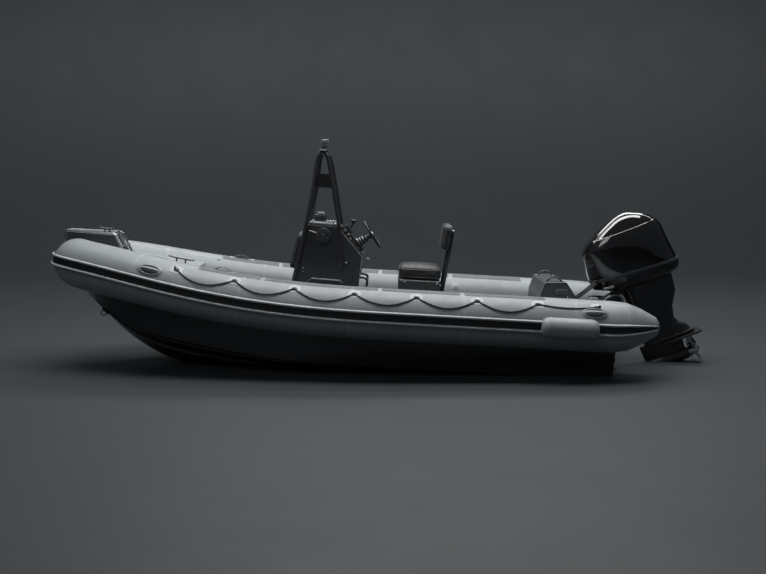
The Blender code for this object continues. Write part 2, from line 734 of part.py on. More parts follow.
STEP_DECK_X = FOREDECK_FRONT + 0.1
STEP_LOW = TUBE_Z + BOW_RISE
STEP_LID = STEP_TOP - 0.014
step = outline("bow_step", [(STEP_FRONT_X, STEP_LOW), (STEP_FRONT_X + 0.012, STEP_LID),
                            (STEP_BEND_X - 0.01, STEP_LID - STEP_SLOPE),
                            (STEP_AFT_X - 0.012, foredeck_top(STEP_AFT_X) - 0.006),
                            (STEP_DECK_X, foredeck_top(STEP_DECK_X) - 0.006),
                            (FOREDECK_FRONT, foredeck_top(FOREDECK_FRONT) - 0.006),
                            (FOREDECK_FRONT - 0.01, STEP_LOW)], -1.0, 1.0, mat="moulding")
for vertex in step.data.vertices:
    vertex.co.y *= step_half(vertex.co.x)
bevel(step, 0.006)
deck_line = [(x, foredeck_top(x) + GAP) for x in FOREDECK_X]
under = outline("foredeck_plane", [(FOREDECK_FRONT - GAP, 0.8)] + deck_line + [(FOREDECK_AFT, 0.8)], -0.4, 0.4)
on_saddle(step)
cut(step, under, keep=True)
RAIL_OFF = STEP_RAIL_R + 0.0005
# rail stations: x, height
STEP_RAIL = [(STEP_FRONT_X - 0.016, STEP_TOP - 0.122), (STEP_FRONT_X - 0.002, STEP_TOP - 0.012),
             (STEP_FRONT_X + 0.018, STEP_TOP), (STEP_BEND_X - 0.018, STEP_TOP - STEP_SLOPE),
             (STEP_BEND_X + 0.006, STEP_TOP - STEP_SLOPE - 0.014),
             (STEP_AFT_X + 0.004, foredeck_top(STEP_AFT_X) - 0.01)]
hoops = []
for side in (-1, 1):
    path = [(x, side * (step_half(x) + RAIL_OFF), z) for x, z in STEP_RAIL]
    hoops.append(on_saddle(tube("bow_rail", path, STEP_RAIL_R, mat="steel")))
rail = hoops[0]
rail.name = "bow_rail"
# cross bars: x, height, radius
for x, z, radius in ((STEP_FRONT_X - 0.010, STEP_TOP - 0.020, 0.009),
                     (STEP_AFT_X - 0.028, STEP_TOP - 0.130, 0.009)):
    reach = step_half(x) + RAIL_OFF
    hoops.append(rod("bar", (x, -reach, z), (x, reach, z), radius))
fuse(rail, *hoops[1:])
cut(rail, under)
smooth(rail)


def cleat(name, at, length, mat, slope=0.0, parent=BOAT_FRAME):
    """A two-post horn cleat on its base plate, lengthwise along X."""
    x, y, z = at
    body = box(name, (-length * 0.36, -0.022, 0.0), (length * 0.36, 0.022, 0.007), parent)
    posts = [rod("post", (s * length * 0.17, 0, 0.004), (s * length * 0.17, 0, 0.052), 0.009, 8, parent)
             for s in (-1, 1)]
    horn = tube("horn", [(-length / 2, 0, 0.060), (-length * 0.3, 0, 0.054), (length * 0.3, 0, 0.054),
                         (length / 2, 0, 0.060)], 0.009, 2, parent=parent)
    fuse(body, *posts, horn)
    body.data.transform(Matrix.Translation(body.location))
    body.data.transform(Matrix.Rotation(slope, 4, "Y"))
    body.location = at
    finish(body, mat)
    return smooth(body)


step_slope = math.atan2(STEP_SLOPE, STEP_BEND_X - STEP_FRONT_X)
cleat_x = STEP_BEND_X - 0.122
cleat_z = STEP_LID - (cleat_x - STEP_FRONT_X - 0.012) * STEP_SLOPE / (STEP_BEND_X - STEP_FRONT_X - 0.022)
bow_cleat = cleat("bow_cleat", (cleat_x, 0, cleat_z - 0.001), 0.155, "steel", step_slope)
smooth(seat_on(bow_cleat, step))
fore_x = -1.81
fore_slope = math.atan2(foredeck_top(fore_x - 0.1) - foredeck_top(fore_x + 0.1), 0.2)
fore_cleat = cleat("fore_cleat", (fore_x, 0, foredeck_top(fore_x) - 0.002), 0.28, "rail", fore_slope)
smooth(seat_on(fore_cleat, foredeck))

# towing eye on the stem: a U bolt with a backing pad
STEM_LOW, STEM_HIGH = [Vector((row[0], 0, row[1])) for row in HULL_STATIONS[-3:-1]]
EYE_SHARE = 0.78
along = (STEM_HIGH - STEM_LOW).normalized()
eye_frame = Matrix((along, Vector((0, 1, 0)), along.cross(Vector((0, 1, 0))))).transposed().to_4x4()
pad = box("bow_eye", (-0.045, -0.02, 0.0), (0.045, 0.02, 0.008))
pad.data.transform(Matrix.Translation(pad.location))
pad.location = (0, 0, 0)
fuse(pad, tube("u_bolt", [(-0.026, 0, 0.004), (-0.026, 0, 0.040), (-0.014, 0, 0.056), (0.014, 0, 0.056),
                          (0.026, 0, 0.040), (0.026, 0, 0.004)], 0.006))
pad.data.transform(eye_frame)
pad.location = STEM_LOW.lerp(STEM_HIGH, EYE_SHARE) + along.cross(Vector((0, 1, 0))) * GAP
finish(pad, "steel")

# Console
body_outline = [(x, z if z else DECK_Z + GAP) for x, z in CONSOLE]
console = outline("console_body", body_outline, -CONSOLE_HALF, CONSOLE_HALF, mat="moulding")
bevel(console, 0.015, 2)
smooth(console)


def on_line(a, b, share, lift):
    """A point at `share` of the way from a to b, lifted to the left of the line."""
    ax, az = a
    bx, bz = b
    run = math.hypot(bx - ax, bz - az)
    nx, nz = -(bz - az) / run, (bx - ax) / run
    return ax + (bx - ax) * share + nx * lift, az + (bz - az) * share + nz * lift


def slab(name, a, b, s0, s1, lift, thick, y0, y1, mat, parent=BOAT_FRAME):
    """A flat slab lying on the sloped face from a to b."""
    p = [on_line(a, b, s0, lift), on_line(a, b, s1, lift), on_line(a, b, s1, lift + thick),
         on_line(a, b, s0, lift + thick)]
    return outline(name, p, y0, y1, mat=mat, parent=parent)


FRONT_LOW, FRONT_TOP, TOP_AFT, DASH_LOW = CONSOLE[1], CONSOLE[2], CONSOLE[3], CONSOLE[4]
DASH_THICK = 0.012
TRAY_THICK = 0.022
PANEL_HALF = CONSOLE_HALF - 0.04
dash = slab("dash_panel", TOP_AFT, DASH_LOW, 0.08, 0.94, GAP, DASH_THICK, -PANEL_HALF, PANEL_HALF, "rail")
top_tray = slab("console_top", FRONT_TOP, TOP_AFT, 0.03, 0.97, GAP, TRAY_THICK, -PANEL_HALF - 0.03,
                PANEL_HALF + 0.03, "moulding")
bevel(top_tray, 0.008, 2)
cushion = slab("front_cushion", FRONT_LOW, FRONT_TOP, 0.20, 0.84, GAP, 0.075, -CONSOLE_HALF + 0.06,
               CONSOLE_HALF - 0.06, "cushion")
bevel(cushion, 0.025, 3)
smooth(cushion)

COMPASS_X = FRONT_TOP[0] + 0.108
TRAY_TOP = FRONT_TOP[1] + TRAY_THICK
# compass body, bezel and dome: height above the tray, radius
COMPASS = [(-0.004, 0.060), (0.014, 0.068), (0.040, 0.066), (0.045, 0.058), (0.050, 0.066), (0.066, 0.066),
           (0.071, 0.056), (0.084, 0.054), (0.098, 0.040), (0.104, 0.022)]
compass = turned("compass", COMPASS, 20, "Z", mat="rail")
compass.location = (COMPASS_X, 0, TRAY_TOP)
smooth(seat_on(compass, top_tray))

HORN_X, HORN_Z = -0.294, 1.356
STUB_START, STUB_END = Vector((-0.066, 0, 0.014)), Vector((-0.144, 0, 0.033))
horn_at = Vector((HORN_X, -CONSOLE_HALF - GAP - 0.023, HORN_Z))
horn = cylinder("horn", 0.074, 0.046, horn_at, (0, -1, 0), 28, mat="rail", top=0.066)
fuse(horn, rod("stub", horn_at + STUB_START, horn_at + STUB_END, 0.016))
smooth(horn)

# side rail: x, distance off the console's side, height
SIDE_RAIL = [(-0.440, -0.010, 0.845), (-0.425, 0.030, 0.876), (-0.390, 0.040, 0.905), (-0.102, 0.040, 0.898),
             (-0.070, 0.030, 0.874), (-0.052, -0.010, 0.842)]
side_rail = tube("side_rail", [(x, -CONSOLE_HALF - off, z) for x, off, z in SIDE_RAIL], 0.010, mat="steel")
smooth(seat_on(side_rail, console, (0, -GAP, 0)))

# helm: a raised binnacle on the dash, and the housing with its bellows square to the wheel
shaft = Vector((math.cos(WHEEL_RAKE), 0, math.sin(WHEEL_RAKE)))
# distance along the shaft, radius
BELLOWS = [(0.0, 0.058), (0.065, 0.058), (0.075, 0.046), (0.090, 0.050), (0.105, 0.040), (0.120, 0.045),
           (0.135, 0.034), (0.150, 0.039), (0.165, 0.027), (0.1975, 0.024)]
HELM_LENGTH = 0.230
bellows = turned("bellows", BELLOWS, 20, "Z")
bellows.data.transform(shaft.to_track_quat("Z", "Y").to_matrix().to_4x4())
bellows.data.transform(Matrix.Translation(Vector(WHEEL_CENTRE) - shaft * HELM_LENGTH))
helm = slab("helm", TOP_AFT, DASH_LOW, 0.40, 0.90, DASH_THICK + GAP, 0.034, -0.095, 0.095, "rubber")
fuse(helm, bellows)
under_dash = slab("under_dash", TOP_AFT, DASH_LOW, -0.3, 1.3, -0.30, 0.30 + DASH_THICK + 2 * GAP,
                  -0.2, 0.2, "rail")
smooth(finish(cut(helm, under_dash), "rubber"))

# steering wheel, in its own axis frame with the shaft along +X
bm = bmesh.new()
rim_r, section = WHEEL_R - 0.012, 0.013
rows = []
for k in range(28):
    turn = 2 * math.pi * k / 28
    radial = Vector((0, math.cos(turn), math.sin(turn)))
    rows.append([bm.verts.new(radial * (rim_r + section * math.cos(2 * math.pi * m / 8))
                              + Vector((section * math.sin(2 * math.pi * m / 8), 0, 0))) for m in range(8)])
for k in range(28):
    for m in range(8):
        n = (m + 1) % 8
        bm.faces.new((rows[k][m], rows[k][n], rows[(k + 1) % 28][n], rows[(k + 1) % 28][m]))
wheel = from_bmesh("steering_wheel", bm, WHEEL_AXIS, "rubber")
hub = cylinder("hub", 0.032, 0.034, (-0.015, 0, 0), "X", 20, WHEEL_AXIS)
spokes = []
for k in range(3):
    turn = math.radians(90 + 120 * k)
    radial = Vector((0, math.cos(turn), math.sin(turn)))
    inner = radial * 0.02 + Vector((-0.012, 0, 0))
    spokes.append(rod("spoke", inner, radial * (rim_r - 0.003), 0.009, 8, WHEEL_AXIS))
fuse(wheel, hub, *spokes)
smooth(wheel)

# throttle on the starboard half of the dash
THROTTLE_Y = 0.20
throttle = slab("throttle", TOP_AFT, DASH_LOW, 0.14, 0.42, DASH_THICK + 2 * GAP, 0.045, THROTTLE_Y - 0.035,
                THROTTLE_Y + 0.035, "rail")
bevel(throttle, 0.008)
foot = on_line(TOP_AFT, DASH_LOW, 0.32, DASH_THICK + 0.023)
KNOB_AT = Vector((0.001, THROTTLE_Y, 1.464))
# knob: height, radius
KNOB = [(0.0, 0.012), (0.008, 0.022), (0.020, 0.028), (0.028, 0.038), (0.038, 0.040), (0.044, 0.034)]
knob = turned("knob", KNOB, 16)
knob.data.transform(Matrix.Translation(KNOB_AT))
fuse(throttle, rod("lever", (foot[0], THROTTLE_Y, foot[1]), KNOB_AT + Vector((0, 0, 0.006)), 0.008, 8), knob)
smooth(throttle)

# Mast
CROSS_LOW, CROSS_HIGH = 1.844, 1.978
MAST_SIDE_Y = CONSOLE_HALF + MAST_TUBE_R + GAP


def mast_y(z, side):
    """The hoops stand against the console's sides and lean together above it."""
    share = max(0.0, (z - MAST_KNEE_Z) / (MAST_TOP_Z - MAST_KNEE_Z))
    return side * (MAST_SIDE_Y + (MAST_TOP_Y - MAST_SIDE_Y) * share)


# hoop stations up the front leg and down the aft one: x, height
FRONT_LEG = [(-0.612, DECK_Z + 0.006), (-0.588, 0.80), (-0.468, MAST_KNEE_Z), (-0.418, CROSS_LOW),
             (-0.398, 2.110), (-0.384, 2.170)]
AFT_LEG = [(-0.296, 2.170), (-0.274, 2.110), (-0.212, CROSS_LOW), (-0.138, MAST_KNEE_Z), (-0.108, 1.16),
           (-0.096, 1.02)]
MAST_TOP_X = (-0.362, -0.318)
WEB_THICK = 0.012
for side, word in ((-1, "port"), (1, "starboard")):
    stations = FRONT_LEG + [(x, MAST_TOP_Z) for x in MAST_TOP_X] + AFT_LEG
    hoop = tube("mast_hoop_" + word, [(x, mast_y(z, side), z) for x, z in stations], MAST_TUBE_R, 2, mat="rail")
    foot_at = (FRONT_LEG[0][0], mast_y(DECK_Z, side), DECK_Z + GAP + 0.004)
    foot_pad = cylinder("foot", 0.033, 0.008, foot_at, "Z", 14)
    web_y = mast_y((CROSS_LOW + CROSS_HIGH) / 2, side)
    web = outline("web", [(-0.418, CROSS_LOW), (-0.212, CROSS_LOW), (-0.243, CROSS_HIGH), (-0.408, CROSS_HIGH)],
                  web_y - WEB_THICK / 2, web_y + WEB_THICK / 2)
    fuse(hoop, foot_pad, web)
    smooth(hoop)
PLATE_LOW = MAST_TOP_Z + MAST_TUBE_R - 0.0021
PLATE_THICK = 0.012
mast_plate = box("mast_top_plate", (MAST_TOP_X[0] - 0.015, -MAST_TOP_Y - 0.03, PLATE_LOW),
                 (MAST_TOP_X[1] + 0.015, MAST_TOP_Y + 0.03, PLATE_LOW + PLATE_THICK), mat="rail")
bevel(mast_plate, 0.004)
# navigation light: height above the plate, radius
NAV_LIGHT = [(0.0, 0.026), (0.008, 0.026), (0.014, 0.019), (0.034, 0.022), (0.044, 0.040), (0.068, 0.043),
             (0.070, 0.037), (0.074, 0.037), (0.076, 0.045), (0.106, 0.045), (0.111, 0.040)]
lamp = turned("nav_light", NAV_LIGHT, 20, "Z", mat="lamp")
lamp.location = (sum(MAST_TOP_X) / 2, 0, PLATE_LOW + PLATE_THICK + GAP)

# Helm seat
sx0, sx1 = SEAT_X
seat_low = SEAT_TOP - CUSHION_THICK
seat = outline("seat_base", [(sx0 + 0.03, DECK_Z + GAP), (sx0, seat_low), (sx1 - 0.04, seat_low),
                             (sx1 - 0.025, DECK_Z + GAP)], -SEAT_HALF + 0.01, SEAT_HALF - 0.01, mat="moulding")
bevel(seat, 0.012)
cushion = box("seat_cushion", (sx0 - 0.01, -SEAT_HALF, seat_low + GAP), (sx1 - 0.025, SEAT_HALF, SEAT_TOP),
              mat="cushion")
bevel(cushion, 0.035, 3)
smooth(cushion)
# posts of the back: upright behind the base, then leaning aft
POST_R = 0.016
POST_Y = SEAT_HALF - 0.07
POST_LOW_Z = DECK_Z + 0.30
POST_BEND = (sx1 - 0.008, seat_low - 0.095)
POST_TOP = (POST_BEND[0] + 0.073, SEAT_TOP + 0.390)
STAY_Z = (POST_LOW_Z + 0.04, POST_BEND[1] - 0.03)
stays = []
for y in (-POST_Y, POST_Y):
    stays.append(tube("seat_back_frame", [(POST_BEND[0], y, POST_LOW_Z), (POST_BEND[0], y, POST_BEND[1]),
                                          (POST_TOP[0], y, POST_TOP[1])], POST_R, mat="rail"))
    stays += [rod("stay", (sx1 - 0.06, y, z), (POST_BEND[0], y, z), 0.014) for z in STAY_Z]
bar_z = POST_TOP[1] - 0.13
stays.append(rod("bar", (POST_TOP[0] - 0.015, -POST_Y, bar_z), (POST_TOP[0] - 0.015, POST_Y, bar_z), POST_R))
frame_back = stays[0]
frame_back.name = "seat_back_frame"
fuse(frame_back, *stays[1:])
smooth(seat_on(frame_back, seat, (GAP, 0, 0)))
BACK_HALF_HEIGHT = 0.142
BACK_THICK = 0.085
lean = math.atan2(POST_TOP[0] - POST_BEND[0], POST_TOP[1] - POST_BEND[1])
back_z = SEAT_TOP + 0.312
back_x = POST_BEND[0] + math.tan(lean) * (back_z - POST_BEND[1]) - POST_R + 0.004
pad = box("seat_back_cushion", (-BACK_THICK, -SEAT_HALF + 0.005, -BACK_HALF_HEIGHT),
          (0.0, SEAT_HALF - 0.005, BACK_HALF_HEIGHT), mat="cushion")
pad.data.transform(Matrix.Rotation(lean, 4, "Y") @ Matrix.Translation(pad.location))
pad.location = (back_x, 0, back_z)
bevel(pad, 0.03, 3)
smooth(seat_on(pad, frame_back, (-GAP, 0, 0)))

# Stern locker
locker_outline = [(LOCKER_X + x, z if z else DECK_Z + GAP) for x, z in LOCKER]
locker = outline("stern_locker", locker_outline, -LOCKER_HALF, LOCKER_HALF, mat="moulding")
bevel(locker, 0.012)
GRAB_REACH, GRAB_RISE = 0.075, 0.050
top_x = LOCKER_X + (LOCKER[2][0] + LOCKER[3][0]) / 2
top_z = (LOCKER[2][1] + LOCKER[3][1]) / 2
for side in (-1, 1):
    arch = []
    for k in range(7):
        turn = math.pi * k / 6
        arch.append((top_x - math.cos(turn) * GRAB_REACH, side * (LOCKER_HALF - 0.10),
                     top_z - 0.008 + math.sin(turn) * (GRAB_RISE + 0.008)))
    fuse(locker, tube("grab", arch, 0.009))
smooth(locker)

# Outboard: fixed to the transom
aft_face = TRANSOM_X + GAP + TRANSOM_THICK
hook_top = TRANSOM_TOP + GAP
arm_profile = [(TRANSOM_X - 0.040, hook_top - 0.20), (TRANSOM_X, hook_top - 0.20), (TRANSOM_X, hook_top),
               (aft_face + GAP, hook_top), (aft_face + GAP, 0.36), (aft_face + 0.085, 0.36),
               (aft_face + 0.100, 0.62), (TILT_X + 0.045, TILT_Z - 0.01), (TILT_X + 0.030, TILT_Z + 0.040),
               (TRANSOM_X + 0.03, TILT_Z + 0.040), (TRANSOM_X - 0.040, TILT_Z + 0.030)]
RAM_FOOT = (aft_face + 0.045, TILT_Z - 0.38)
FOOT_PIN_R = 0.012
arms = []
for side in (-1, 1):
    low, high = sorted((side * ARM_Y, side * (ARM_Y + ARM_THICK)))
    arms.append(outline("clamp_bracket", arm_profile, low, high, mat="leg"))
clamp = arms[0]
clamp.name = "clamp_bracket"
fuse(clamp, arms[1],
     rod("tilt_tube", (TILT_X, -ARM_Y - 0.07, TILT_Z), (TILT_X, ARM_Y + 0.07, TILT_Z), TUBE_PIN_R, 20),
     rod("foot_pin", (RAM_FOOT[0], -ARM_Y - 0.01, RAM_FOOT[1]), (RAM_FOOT[0], ARM_Y + 0.01, RAM_FOOT[1]),
         FOOT_PIN_R, 16))
smooth(clamp)

# Outboard: tilting bracket
M = TILT_AXIS
swivel = cylinder("swivel_bracket", 0.036, 2 * (ARM_Y - 0.006), (0, 0, 0), "Y", 24, M)
column = cylinder("column", 0.050, 0.36, (STEER_A, 0, -0.16), "Z", 24, M)
yoke = box("yoke", (0.010, -0.045, -0.020), (STEER_A, 0.045, 0.015), M)
lugs = [outline("lug", [(0.020, -0.020), (0.036, -0.078), (0.056, -0.078), (0.100, -0.060), (0.100, -0.010)],
                *sorted((side * 0.022, side * 0.036)), parent=M) for side in (-1, 1)]
lug_pin = cylinder("lug_pin", RAM_PIN_R, 0.066, (TOP_PIN[0], 0, TOP_PIN[1]), "Y", 12, M)
fuse(swivel, column, yoke, *lugs, lug_pin)
cut(swivel, rod("tilt_bore", (0, -0.3, 0), (0, 0.3, 0), TUBE_PIN_R + BORE_CLEAR, 24, M),
    cylinder("steer_bore", STEER_PIN_R + BORE_CLEAR, 0.6, (STEER_A, 0, -0.16), "Z", 24, M))
finish(swivel, "leg")
smooth(swivel)

# Outboard: steered leg
S = STEER_AXIS


def shift(points):
    return [(a - STEER_A, n) for a, n in points]


def superellipse(front, aft, half, level, power=2.6, count=24):
    ring = []
    for k in range(count):
        t = 2 * math.pi * k / count
        c, s = math.cos(t), math.sin(t)
        x = abs(c) ** (2 / power) * (1 if c >= 0 else -1)
        y = abs(s) ** (2 / power) * (1 if s >= 0 else -1)
        ring.append(Vector(((front + aft) / 2 - STEER_A + x * (aft - front) / 2, y * half, level)))
    return ring


cowl = loft("upper_cowl", [superellipse(f, a, w, n) for n, f, a, w in COWL], parent=S, mat="cowl")
# lower cowl levels: height, front, aft, half width
TRAY = [(0.055, 0.20, 0.80, 0.150), (0.075, 0.12, 0.845, 0.190), (0.110, 0.03, 0.872, 0.218),
        (0.1577, -0.068, 0.883, 0.233)]
tray = loft("lower_cowl", [superellipse(f, a, w, n) for n, f, a, w in TRAY], parent=S, mat="leg")
# leg: tapered levels from the gear case up to the tray: height, front, aft, half width
LEG = [(-0.595, 0.245, 0.770, 0.055), (-0.53, 0.240, 0.742, 0.058), (-0.48, 0.238, 0.670, 0.062),
       (-0.42, 0.235, 0.642, 0.066), (-0.30, 0.228, 0.665, 0.082), (-0.15, 0.222, 0.750, 0.100),
       (0.0547, 0.215, 0.770, 0.118)]
leg = loft("leg", [superellipse(f, a, w, n, 3.0, 20) for n, f, a, w in LEG], parent=S, mat="leg")
pin = cylinder("pin", STEER_PIN_R, 0.40, (0, 0, -0.16), "Z", 24, S)
upper_yoke = box("upper_yoke", (-0.045, -0.05, 0.024), (0.20, 0.05, 0.052), S)
lower_yoke = box("lower_yoke", (-0.045, -0.05, -0.385), (0.20, 0.05, -0.346), S)
fuse(leg, pin, upper_yoke, lower_yoke)
smooth(leg)

# gear case: torpedo, strut, plates and skeg
HUB_X = 0.655                     # aft end of the torpedo
CASE_R = 0.066
# torpedo: distance aft of the tilt tube, radius
TORPEDO = [(0.105, 0.012), (0.125, 0.035), (0.165, 0.055), (0.225, CASE_R), (HUB_X - 0.045, CASE_R),
           (HUB_X, 0.060)]
case = turned("gear_case", [(x - STEER_A, r) for x, r in TORPEDO], 20, "X", S, "leg")
case.data.transform(Matrix.Translation((0, 0, PROP_N)))
# strut levels: height, front, aft, half width
STRUT = [(-0.83, 0.205, 0.640, 0.036), (-0.70, 0.190, 0.650, 0.040), (-0.61, 0.185, 0.665, 0.050)]
strut = loft("strut", [superellipse(f, a, w, n, 2.2, 20) for n, f, a, w in STRUT], parent=S)
neck = loft("neck", [superellipse(f, a, w, n, 2.4, 20) for n, f, a, w in
                     ((-0.64, 0.20, 0.66, 0.050), (-0.60, 0.24, 0.74, 0.055))], parent=S)
# plates and skeg: half outlines, distance aft of the tilt tube against width or height
PLATE = [(0.395, 0.05), (0.46, 0.11), (0.60, 0.155), (0.80, 0.155), (0.845, 0.13), (0.852, 0.0)]
SPLASH = [(0.26, 0.05), (0.40, 0.085), (0.66, 0.110), (0.785, 0.095), (0.795, 0.0)]
SKEG = [(0.25, -0.05), (0.30, -0.16), (0.42, -0.265), (0.505, -0.270), (0.545, -0.17), (0.56, -0.05)]


def both_sides(half):
    return [(x, -y) for x, y in half] + [(x, y) for x, y in reversed(half[:-1])]


plate = outline("plate", shift(both_sides(PLATE)), -0.648, -0.630, "XY", S)
splash = outline("splash", shift(both_sides(SPLASH)), -0.6115, -0.5953, "XY", S)
skeg = outline("skeg", shift([(x, PROP_N + z) for x, z in SKEG]), -0.009, 0.009, "XZ", S)
fuse(case, strut, neck, plate, splash, skeg)
smooth(finish(case, "leg"))

# Propeller, shaft along its own X
P = PROP_AXIS
hub_x = HUB_X + 2 * GAP - STEER_A
HUB = [(0, 0.050), (0.012, 0.054), (0.095, 0.050), (0.110, 0.040), (0.128, 0.016)]
prop = turned("propeller", [(hub_x + x, r) for x, r in HUB], 18, "X", P, "steel")
PITCH = 0.40
BLADE_AT = 0.055                  # blades' root behind the hub's front
ROOT_R = 0.045
# blade sections: share of the radius, chord, thickness
BLADE = [(0.22, 0.070, 0.014), (0.42, 0.120, 0.011), (0.64, 0.150, 0.008), (0.84, 0.130, 0.006),
         (1.0, 0.060, 0.004)]
for blade in range(3):
    base = math.radians(90 + 120 * blade)
    rings = []
    for share, chord, thick in BLADE:
        r = PROP_R * share
        rake = 0.10 * share * PROP_R
        slope = math.atan2(PITCH / (2 * math.pi), max(r, ROOT_R))
        ring = []
        for s, t in ((-0.5, 0), (-0.25, 1), (0.1, 1), (0.5, 0), (0.1, -1), (-0.25, -1)):
            run = chord * s
            normal = thick / 2 * t
            dx = run * math.sin(slope) + normal * math.cos(slope)
            arc = run * math.cos(slope) - normal * math.sin(slope)
            angle = base + arc / max(r, ROOT_R)
            ring.append(Vector((hub_x + BLADE_AT + rake + dx, r * math.cos(angle), r * math.sin(angle))))
        rings.append(ring)
    fuse(prop, loft("blade", rings, parent=P))
smooth(prop, 40)

# Tilt ram between the clamp arms
foot = Vector((RAM_FOOT[0], 0, RAM_FOOT[1]))
top_pin = Vector((TILT_X + TOP_PIN[0] * math.cos(TILT) - TOP_PIN[1] * math.sin(TILT), 0,
                  TILT_Z + TOP_PIN[0] * math.sin(TILT) + TOP_PIN[1] * math.cos(TILT)))
reach = (top_pin - foot).length
lean = math.atan2(top_pin.x - foot.x, top_pin.z - foot.z)
RAM_AXIS = empty("ram_axis", foot, BOAT_FRAME, lean)
BARREL_R = 0.028
BARREL_END = 0.213                # top of the barrel from the foot pin
ROD_R = 0.0115
ROD_START = 0.098
BORE_START = 0.060
EYE_BORE_R = RAM_PIN_R + EYE_CLEAR
barrel = cylinder("tilt_barrel", BARREL_R, BARREL_END - 0.023, (0, 0, (BARREL_END + 0.023) / 2), "Z", 20,
                  RAM_AXIS)
fuse(barrel, cylinder("foot_eye", 0.024, 0.050, (0, 0, 0), "Y", 20, RAM_AXIS))
cut(barrel, cylinder("foot_bore", FOOT_PIN_R + BORE_CLEAR, 0.2, (0, 0, 0), "Y", 20, RAM_AXIS),
    cylinder("rod_bore", ROD_R + 0.001, BARREL_END - BORE_START + 0.017,
             (0, 0, (BORE_START + BARREL_END + 0.017) / 2), "Z", 20, RAM_AXIS))
smooth(finish(barrel, "leg"))
ram_rod = cylinder("tilt_rod", ROD_R, reach - ROD_START, (0, 0, (reach + ROD_START) / 2), "Z", 16, RAM_AXIS)
fuse(ram_rod, cylinder("rod_eye", EYE_BORE_R + 0.007, 0.030, (0, 0, reach), "Y", 20, RAM_AXIS))
cut(ram_rod, cylinder("eye_bore", EYE_BORE_R, 0.2, (0, 0, reach), "Y", 20, RAM_AXIS))
smooth(finish(ram_rod, "steel"))
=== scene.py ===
"""Dresses the boat's solids: inflated collar with its fittings, padded cushions, rope, hoses and finishes.

Shapes are written in the boat's own frame (+X aft, +Y to starboard, +Z up, metres) and TRIM turns them to
the bow-up attitude in which the boat floats.  The floor is the water surface.
"""
import json
import math

import bpy
import bmesh
from mathutils import Matrix, Vector
from mathutils.bvhtree import BVHTree

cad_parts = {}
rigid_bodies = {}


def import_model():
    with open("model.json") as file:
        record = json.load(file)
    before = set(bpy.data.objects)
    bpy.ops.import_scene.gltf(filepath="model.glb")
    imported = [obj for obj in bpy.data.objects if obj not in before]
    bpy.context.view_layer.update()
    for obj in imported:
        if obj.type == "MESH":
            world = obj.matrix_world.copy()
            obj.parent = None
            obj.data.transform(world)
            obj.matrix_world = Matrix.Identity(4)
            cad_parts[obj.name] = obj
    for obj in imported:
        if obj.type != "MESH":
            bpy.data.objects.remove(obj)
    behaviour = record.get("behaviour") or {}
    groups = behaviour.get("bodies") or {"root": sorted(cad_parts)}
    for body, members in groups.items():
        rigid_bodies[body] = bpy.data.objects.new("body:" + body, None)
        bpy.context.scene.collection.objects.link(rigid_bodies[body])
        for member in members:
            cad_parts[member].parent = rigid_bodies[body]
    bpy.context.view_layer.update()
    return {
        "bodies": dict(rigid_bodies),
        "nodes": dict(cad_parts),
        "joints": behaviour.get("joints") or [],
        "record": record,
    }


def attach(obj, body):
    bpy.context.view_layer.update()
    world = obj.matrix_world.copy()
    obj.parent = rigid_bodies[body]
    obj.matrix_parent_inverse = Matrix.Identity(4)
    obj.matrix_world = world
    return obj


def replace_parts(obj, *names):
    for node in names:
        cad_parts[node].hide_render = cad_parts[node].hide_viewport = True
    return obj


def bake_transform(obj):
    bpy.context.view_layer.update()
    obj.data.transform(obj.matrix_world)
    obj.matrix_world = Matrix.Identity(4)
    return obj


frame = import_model()
NODES = frame["nodes"]
SCENE = bpy.context.scene

# Dimensions shared with the solids
TRIM = Matrix.Rotation(math.radians(3.2), 4, "Y")
TUBE_R = 0.255
HALF_SPAN = 0.95
TUBE_Z = 0.655
BOW_X = -2.873
BOW_START_X = 0.25
BOW_RISE = 0.255
SHEER_START_X = 0.20
SHEER_POWER = 2.4
BOW_FULL_X = 1.22
BOW_FULL_Y = 2.3
BOW_ROLL = math.radians(8.0)
TAIL_X = 2.58
# tail cone: distance aft of TAIL_X, rise of the centre, share of the radius
TAIL_CONE = [(0.0, 0.0, 1.0), (0.06, 0.003, 0.985), (0.18, 0.010, 0.92), (0.32, 0.018, 0.69),
             (0.465, 0.026, 0.37), (0.49, 0.028, 0.2)]
EYE_X = [-1.686, -1.096, -0.498, 0.090, 0.677, 1.263, 1.851, 2.425]
EYE_ANGLE = 52.0
SWAG_ANGLE = 28.0
LAST_SWAG_ANGLE = 45.0
ROPE_R = 0.0065
ROPE_CLEAR, EYE_CLEAR = 0.0008, 0.0035        # rope's clearance over the fabric, and the eyes'
HANDLES = [("bow", -1.93, 36.0), ("stern", 2.40, 36.0)]
FENDER_X = (1.88, 2.44)
FENDER_R = 0.100
STRAP_X = -1.28
STRAP_ANGLE = 96.0
TRANSOM_X = 2.62
DECK_Z = 0.32
TILT_X, TILT_Z = TRANSOM_X + 0.10, 0.80
TILT = math.radians(24.0)
STEER_A = 0.13
MOTOR = (TRIM @ Matrix.Translation((TILT_X, 0, TILT_Z)) @ Matrix.Rotation(-TILT, 4, "Y")
         @ Matrix.Translation((STEER_A, 0, 0)))
SIDES = ((-1, "port"), (1, "starboard"))

# Materials


